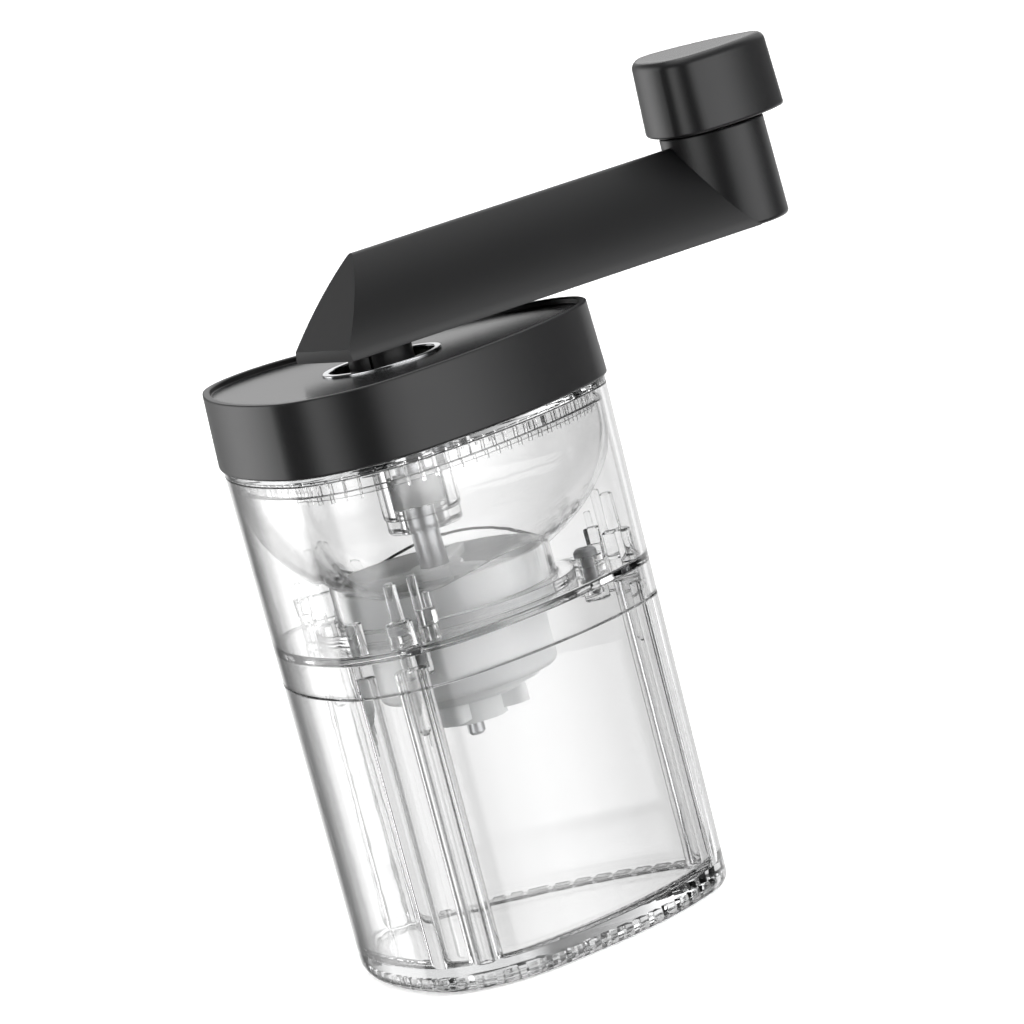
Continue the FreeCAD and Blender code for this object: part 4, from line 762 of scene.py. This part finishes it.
class GRINDER_OT_burrs(GrinderPiece, bpy.types.Operator):
    """Ceramic ring and cone"""
    bl_idname = "grinder.burrs"
    bl_label = "Burrs"

    def execute(self, context):
        dress("ceramic", "outer_burr", "inner_burr")
        return {"FINISHED"}


class GRINDER_OT_adjuster(GrinderPiece, bpy.types.Operator):
    """Carrier below the cone and the nut that sets the grind"""
    bl_idname = "grinder.adjuster"
    bl_label = "Grind adjuster"

    def execute(self, context):
        dress("pale", "burr_carrier", "adjust_nut")
        return {"FINISHED"}


class GRINDER_OT_shaft(GrinderPiece, bpy.types.Operator):
    """Drive shaft with its washer and clip, and the pin of the knob"""
    bl_idname = "grinder.shaft"
    bl_label = "Drive shaft"

    def execute(self, context):
        dress("steel", "drive_shaft", "spring_washer", "shaft_clip", "knob_pin", "knob_washer")
        return {"FINISHED"}


class GRINDER_OT_spring(GrinderPiece, bpy.types.Operator):
    """Spring that presses the cone on its nut, drawn at one length; on the grinder it shortens as the cone rises"""
    bl_idname = "grinder.spring"
    bl_label = "Spring"

    def execute(self, context):
        low, high = (Vector(corner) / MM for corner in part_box("burr_spring"))
        wire, coils, per_coil, rise = 0.5, 5, 32, 2.0
        middle = (high.x - low.x) / 2 - wire
        rows = []
        for step in range(coils * per_coil + 1):
            share = step / (coils * per_coil)
            out = Vector((math.cos(math.tau * step / per_coil), math.sin(math.tau * step / per_coil), 0))
            centre = out * middle + Vector((0, 0, low.z + wire + (high.z - low.z - 2 * wire) * share))
            rows.append([centre + out * wire * math.cos(turn) + Vector((0, 0, wire * math.sin(turn)))
                         for turn in (math.tau * i / 12 for i in range(12))])
        spring = piece("cone_spring", skin(rows), "drive", material("steel"), ["burr_spring"])
        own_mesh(spring)
        return {"FINISHED"}


class GRINDER_OT_screws(GrinderPiece, bpy.types.Operator):
    """Small screws"""
    bl_idname = "grinder.screws"
    bl_label = "Screws"

    def execute(self, context):
        dress("zinc", "bowl_screws", "lid_screws", "hub_screw")
        return {"FINISHED"}


class GRINDER_OT_lid_cover(GrinderPiece, bpy.types.Operator):
    """Black lid with its sunk top"""
    bl_idname = "grinder.lid_cover"
    bl_label = "Lid"

    def execute(self, context):
        columns = columns_round(PLAN, 48, 96)
        edge = context.scene.grinder_sizes.black_edge / MM
        roof = LID_FLOOR - 2.0
        rows = [plan_row(columns, height, inset) for inset, height in eased(
            [(PLAN_END, roof), (2.0, roof, 0.5), (1.4, LID_FOOT), (-0.6, LID_FOOT, edge), (0.0, LID_RIM, edge),
             (1.8, LID_RIM, edge), (1.8, LID_FLOOR, 0.3), (PLAN_END, LID_FLOOR)])]
        rows += [disc_row(columns, height, radius) for radius, height in eased(
            [(14.6, LID_FLOOR), (LID_HOLE, LID_FLOOR, 0.1), (LID_HOLE, roof, 0.1), (14.6, roof)])]
        lid = piece("lid_shell", skin(rows, wrap=True), "lid", material("black"), ["lid_cover"])
        refinish(lid, "polished", lambda middle, normal: normal.z > 0.9 and abs(middle.z - LID_FLOOR) < 0.05)
        return {"FINISHED"}


class GRINDER_OT_lid_ring(GrinderPiece, bpy.types.Operator):
    """Bright ring round the hole in the lid"""
    bl_idname = "grinder.lid_ring"
    bl_label = "Bright ring"

    def execute(self, context):
        bore, sleeve, rim = 12.5, 12.9, 14.2
        foot, seat, top = LID_FLOOR - 2.0, LID_FLOOR + 0.02, LID_FLOOR + 0.5
        ring = turned(eased([(bore, foot), (sleeve, foot), (sleeve, seat), (rim, seat), (rim, top, 0.3),
                             (bore, top, 0.3)], closed=True, step=0.2), 160, wrap=True)
        piece("bright_ring", ring, "lid", material("chrome"), ["lid_ring"])
        return {"FINISHED"}


class GRINDER_OT_crank_arm(GrinderPiece, bpy.types.Operator):
    """Black crank arm with its upright post"""
    bl_idname = "grinder.crank_arm"
    bl_label = "Crank arm"

    def section(self):
        """Pointed arch with a rounded ridge, as (across, height)."""
        half, ridge, crown, curve = 12.8, 1.3, 1.85, 44.0
        shoulder = ARM_RIDGE - crown + math.sqrt(crown ** 2 - ridge ** 2)
        low, high = Vector((half, ARM_FOOT + 1.0)), Vector((ridge, shoulder))
        chord = high - low
        centre = (low + high) / 2 + Vector((-chord.y, chord.x)).normalized() * math.sqrt(
            curve ** 2 - (chord.length / 2) ** 2)
        right = [Vector((half, ARM_FOOT))]
        for middle, radius, start, end, steps in (
                (centre, curve, low - centre, high - centre, 18),
                (Vector((0, ARM_RIDGE - crown)), crown, high - Vector((0, ARM_RIDGE - crown)), Vector((0, 1)), 4)):
            first, last = math.atan2(start.y, start.x), math.atan2(end.y, end.x)
            for step in range(steps + 1):
                angle = first + (last - first) * step / steps
                right.append(middle + radius * Vector((math.cos(angle), math.sin(angle))))
        return right + [Vector((-p.x, p.y)) for p in right[-2::-1]]

    def execute(self, context):
        edge = context.scene.grinder_sizes.arm_edge / MM
        end = -14.6
        bar = skin([[Vector((x, p.x, p.y)) for p in self.section()] for x in (end, CRANK_REACH - 1.0)])
        rake = [(end - 1.4, ARM_FOOT + 2.8), (end, ARM_FOOT + 2.8), (-0.8, ARM_RIDGE), (-0.8, ARM_RIDGE + 2),
                (end - 1.4, ARM_RIDGE + 2)]
        wedge = skin([[Vector((x, side, z)) for x, z in rake] for side in (-14, 14)])
        cores = bmesh.new()
        for index in range(4):
            low = 15.0 + index * 18.4
            high, side = low + 16.6, 10.4
            skin([[Vector((x, y, z)) for x, y in ((low + ease, ease - side), (high - ease, ease - side),
                                                  (high - ease, side - ease), (low + ease, side - ease))]
                  for z, ease in ((ARM_FOOT - 1.0, 0.0), (ARM_FOOT + 6.0, 0.3))], into=cores)
        bar = combined(bar, [("DIFFERENCE", wedge), ("DIFFERENCE", cores)], rounding=edge)
        turned(eased([(0.0, ARM_FOOT), (13.0, ARM_FOOT, 1.0), (12.6, POST_TOP, 0.5), (0.0, POST_TOP)]), 128,
               x=CRANK_REACH, into=bar)
        turn_mesh(bar, CRANK_TURN)
        piece("crank_lever", bar, "crank", material("black"), ["crank_arm"], sharp=34)
        return {"FINISHED"}


class GRINDER_OT_crank_hub(GrinderPiece, bpy.types.Operator):
    """Hub that takes the shaft"""
    bl_idname = "grinder.crank_hub"
    bl_label = "Crank hub"

    def execute(self, context):
        dress("black", "crank_hub")
        return {"FINISHED"}


class GRINDER_OT_knob(GrinderPiece, bpy.types.Operator):
    """Black knob that turns on its pin"""
    bl_idname = "grinder.knob"
    bl_label = "Knob"

    def execute(self, context):
        columns = columns_round(KNOB_PLAN, 32, 32)
        wall, roof = 2.4, KNOB_FOOT + 15.0
        profile = eased([(6.0, roof), (wall, roof, 0.5), (wall, KNOB_FOOT, 0.2), (0.0, KNOB_FOOT, 0.8),
                         (0.7, KNOB_TOP, 2.2), (6.0, KNOB_TOP)])
        shell = skin([plan_row(columns, height, inset) for inset, height in profile])
        turned(eased([(3.1, KNOB_FOOT + 0.3), (6.4, KNOB_FOOT + 0.3, 0.3), (6.4, KNOB_FOOT + 15.2),
                      (3.1, KNOB_FOOT + 15.2)], closed=True), 64, wrap=True, into=shell)
        turn_mesh(shell, KNOB_TURN - CRANK_TURN)
        bmesh.ops.translate(shell, verts=shell.verts, vec=(CRANK_REACH, 0, 0))
        turn_mesh(shell, CRANK_TURN)
        knob = piece("crank_knob", shell, "knob", material("black"), ["knob"])
        refinish(knob, "polished", lambda middle, normal: normal.z > 0.9 and middle.z > KNOB_TOP - 0.5)
        return {"FINISHED"}


# Brightness of the room by compass direction, in degrees from +X. A glossy surface mirrors white paper behind the
# grinder and soft boxes at both sides, and nothing behind the camera. LIGHT falls on matt surfaces, from both sides.
PAPER = ((0, 0.03), (18, 0.04), (28, 1.0), (84, 1.0), (92, 0.06), (262, 0.06), (340, 0.02), (360, 0.03))
BOXES = ((0, 0.0), (84, 0.0), (90, 0.1), (98, 0.25), (109, 0.9), (118, 1.8), (134, 2.3), (140, 0.0), (186, 0.0),
         (194, 2.3), (214, 2.4), (226, 1.2), (240, 0.0), (268, 0.0), (275, 1.7), (290, 2.1), (305, 2.5), (322, 2.6),
         (340, 0.9), (352, 0.0))
LIGHT = ((0, 2.6), (30, 1.2), (60, 0.5), (100, 0.7), (116, 2.4), (158, 2.4), (172, 0.3), (190, 0.03), (306, 0.03),
         (318, 3.4), (345, 3.4), (360, 2.6))
BRIGHTEST = 4.0


def compass(tree, direction, levels):
    """Brightness by the compass direction of a vector."""
    flat = add(tree, "ShaderNodeSeparateXYZ", {0: direction}).outputs
    turn = add(tree, "ShaderNodeMath", {0: flat["Y"], 1: flat["X"]}, operation="ARCTAN2")
    share = add(tree, "ShaderNodeMath", {0: turn, 1: 1 / math.tau}, operation="MULTIPLY")
    share = add(tree, "ShaderNodeMath", {0: share, 1: 1.0}, operation="ADD")
    share = add(tree, "ShaderNodeMath", {0: share}, operation="FRACT")
    ramp = add(tree, "ShaderNodeValToRGB", {"Fac": share})
    stops = ramp.color_ramp.elements
    for index, (angle, level) in enumerate(levels):
        stop = stops[index] if index < 2 else stops.new(angle / 360)
        stop.position = angle / 360
        stop.color = (*[level / BRIGHTEST] * 3, 1)
    return add(tree, "ShaderNodeMath", {0: ramp.outputs["Color"], 1: BRIGHTEST}, operation="MULTIPLY")


def ray_kinds(tree):
    """What a ray has met: a matt surface, a mirror, or nothing but clear pieces."""
    path = add(tree, "ShaderNodeLightPath").outputs
    return tuple(add(tree, "ShaderNodeMath", {0: path[kind], 1: 0.5}, operation="GREATER_THAN")
                 for kind in ("Diffuse Depth", "Glossy Depth"))


class GRINDER_OT_stage(GrinderPiece, bpy.types.Operator):
    """Floor, light and camera"""
    bl_idname = "grinder.stage"
    bl_label = "Stage"

    def execute(self, context):
        studio = context.scene.grinder_studio
        self.floor(studio)
        self.room(studio)
        self.lamps(studio)
        self.camera(context, studio)
        context.scene.view_settings.view_transform = "Standard"
        for limit in ("max_bounces", "transmission_bounces"):
            setattr(context.scene.cycles, limit, 32)
        context.scene.cycles.glossy_bounces = 12
        return {"FINISHED"}

    def floor(self, studio):
        """White paper under glass: matt to the eye, white through clear walls, a mirror of the room to what the
        grinder reflects."""
        mesh = bmesh.new()
        radius = 14.0
        bmesh.ops.create_circle(mesh, cap_ends=True, segments=96, radius=radius)
        data = bpy.data.meshes.new("studio_floor")
        mesh.to_mesh(data)
        mesh.free()
        item = bpy.data.objects.new("studio_floor", data)
        bpy.context.scene.collection.objects.link(item)
        paper = new_material("white_paper_floor")
        tree = paper.node_tree
        matt, mirror = ray_kinds(tree)
        direct = add(tree, "ShaderNodeLightPath").outputs["Is Camera Ray"]
        diffuse = add(tree, "ShaderNodeBsdfDiffuse", {"Color": (*srgb("#EFEFEF"), 1)})
        glow = add(tree, "ShaderNodeEmission", {"Color": (1, 1, 1, 1), "Strength": studio.floor_glow})
        seen = add(tree, "ShaderNodeAddShader", {0: diffuse, 1: glow})
        through = add(tree, "ShaderNodeEmission", {"Color": (1, 1, 1, 1), "Strength": 1.0})
        seen = add(tree, "ShaderNodeMixShader", {0: direct, 1: through, 2: seen})
        image = add(tree, "ShaderNodeBsdfGlossy", {"Color": (1, 1, 1, 1), "Roughness": 0.0})
        clear = add(tree, "ShaderNodeMixShader", {0: mirror, 1: seen, 2: image})
        bounce = add(tree, "ShaderNodeBsdfDiffuse", {"Color": (*srgb("#7C7C7C"), 1)})
        every = add(tree, "ShaderNodeMixShader", {0: matt, 1: clear, 2: bounce})
        finish_material(paper, every)
        paper.cycles.emission_sampling = "NONE"
        data.materials.append(paper)
        item.location.z = -0.0001

    def room(self, studio):
        world = bpy.data.worlds.new("studio_room")
        bpy.context.scene.world = world
        world.use_nodes = True
        world.cycles.sampling_method = "NONE"
        tree = world.node_tree
        tree.nodes.clear()
        matt, mirror = ray_kinds(tree)
        direction = add(tree, "ShaderNodeTexCoord").outputs["Generated"]
        height = add(tree, "ShaderNodeSeparateXYZ", {0: direction}).outputs["Z"]
        low = add(tree, "ShaderNodeMapRange", {
            "Value": height, "From Min": 0.2, "From Max": 0.45, "To Min": 1.0, "To Max": 0.0})
        boxes = add(tree, "ShaderNodeMath", {0: compass(tree, direction, BOXES), 1: low}, operation="MULTIPLY")
        horizon = add(tree, "ShaderNodeMapRange", {
            "Value": height, "From Min": 0.05, "From Max": 0.11, "To Min": 0.1, "To Max": 1.0})
        paper = add(tree, "ShaderNodeMath", {0: compass(tree, direction, PAPER), 1: horizon}, operation="MULTIPLY")
        sides = add(tree, "ShaderNodeMath", {0: boxes, 1: paper}, operation="ADD")
        overhead = add(tree, "ShaderNodeMapRange", {"Value": height, "From Min": 0.7, "To Max": 1.3})
        image = add(tree, "ShaderNodeMath", {0: sides, 1: overhead}, operation="ADD")
        crossed = add(tree, "ShaderNodeLightPath").outputs["Transmission Depth"]
        gain = add(tree, "ShaderNodeMapRange", {
            "Value": crossed, "From Max": 8.0, "To Min": studio.sky, "To Max": studio.sky * studio.inside})
        lit = add(tree, "ShaderNodeMath", {0: compass(tree, direction, LIGHT), 1: gain}, operation="MULTIPLY")
        clear = add(tree, "ShaderNodeMapRange", {"Value": mirror, "To Min": 1.0, "To Max": image})
        every = add(tree, "ShaderNodeMapRange", {"Value": matt, "To Min": clear, "To Max": lit})
        back = add(tree, "ShaderNodeBackground", {"Color": (1, 1, 1, 1), "Strength": every})
        add(tree, "ShaderNodeOutputWorld", {"Surface": back})

    def lamps(self, studio):
        """Upright strips at both sides of the camera, and a soft lamp overhead. Lengths in metres."""
        for name, radiance, azimuth, distance, width, height in (
                ("left_strip", 2.5, 203, 0.42, 0.12, 0.34), ("right_strip", 2.5, 314, 0.42, 0.16, 0.34),
                ("right_soft", 1.2, 345, 0.45, 0.24, 0.34), ("overhead_soft", 1.0, 254.6, 0.0, 0.6, 0.6)):
            lamp = bpy.data.lights.new(name, "AREA")
            lamp.shape = "RECTANGLE"
            lamp.size, lamp.size_y = width, height
            lamp.energy = studio.key * radiance * math.pi * width * height
            item = bpy.data.objects.new(name, lamp)
            turn = math.radians(azimuth)
            place = Vector((distance * math.cos(turn), distance * math.sin(turn), height / 2 if distance else 0.9))
            aim = Vector((-place.x, -place.y, 0)) if distance else Vector((0, 0, -1))
            item.location = place
            item.rotation_euler = aim.to_track_quat("-Z", "Y").to_euler()
            item.visible_camera = False
            item.visible_glossy = False
            item.visible_transmission = False
            bpy.context.scene.collection.objects.link(item)

    def camera(self, context, studio):
        """The photograph's view, fitted to its outline."""
        elevation, azimuth, roll = math.radians(8.1376), math.radians(-15.3716), math.radians(-14.6506)
        distance, aim, shift_across, shift_up = 1951.5, Vector((0, 0, 65.217)), 11.315, 36.288
        back = Vector((math.sin(azimuth) * math.cos(elevation), -math.cos(azimuth) * math.cos(elevation),
                       math.sin(elevation)))
        right = Vector((math.cos(azimuth), math.sin(azimuth), 0))
        up = right.cross(-back)
        across = right * math.cos(roll) + up * math.sin(roll)
        upright = up * math.cos(roll) - right * math.sin(roll)
        place = aim + back * distance + across * shift_across + upright * shift_up
        data = bpy.data.cameras.new("photo_camera")
        data.lens = studio.lens
        data.sensor_width = 36.0
        data.clip_end = 100
        item = bpy.data.objects.new("photo_camera", data)
        item.matrix_world = Matrix.Translation(place * MM) @ Matrix((across, upright, back)).transposed().to_4x4()
        context.scene.collection.objects.link(item)
        context.scene.camera = item


OPERATORS = (
    GRINDER_OT_container, GRINDER_OT_upper_body, GRINDER_OT_hopper, GRINDER_OT_inner_lid,
    GRINDER_OT_shaft_bearing, GRINDER_OT_burr_holder, GRINDER_OT_burrs, GRINDER_OT_adjuster, GRINDER_OT_shaft,
    GRINDER_OT_spring, GRINDER_OT_screws, GRINDER_OT_lid_cover, GRINDER_OT_lid_ring, GRINDER_OT_crank_arm,
    GRINDER_OT_crank_hub, GRINDER_OT_knob, GRINDER_OT_stage,
)


class GRINDER_PT_panel(bpy.types.Panel):
    """Lists the pieces of the grinder, its sizes and finishes"""
    bl_idname = "GRINDER_PT_panel"
    bl_label = "Hand coffee grinder"
    bl_space_type = "VIEW_3D"
    bl_region_type = "UI"
    bl_category = "Grinder"

    def draw(self, context):
        column = self.layout.column(align=True)
        for operator in OPERATORS:
            column.operator(operator.bl_idname)
        for group in (context.scene.grinder_finish, context.scene.grinder_sizes, context.scene.grinder_studio):
            box = self.layout.box()
            for key in group.__annotations__:
                box.prop(group, key)


GROUPS = {"grinder_finish": GrinderFinish, "grinder_sizes": GrinderSizes, "grinder_studio": GrinderStudio}


def register():
    for kind in (*GROUPS.values(), *OPERATORS, GRINDER_PT_panel):
        bpy.utils.register_class(kind)
    for name, kind in GROUPS.items():
        setattr(bpy.types.Scene, name, bpy.props.PointerProperty(type=kind))


def unregister():
    for name in GROUPS:
        delattr(bpy.types.Scene, name)
    for kind in (GRINDER_PT_panel, *reversed(OPERATORS), *GROUPS.values()):
        bpy.utils.unregister_class(kind)


def main():
    register()
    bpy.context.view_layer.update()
    for operator in OPERATORS:
        family, name = operator.bl_idname.split(".")
        getattr(getattr(bpy.ops, family), name)()


if __name__ == "__main__":
    main()
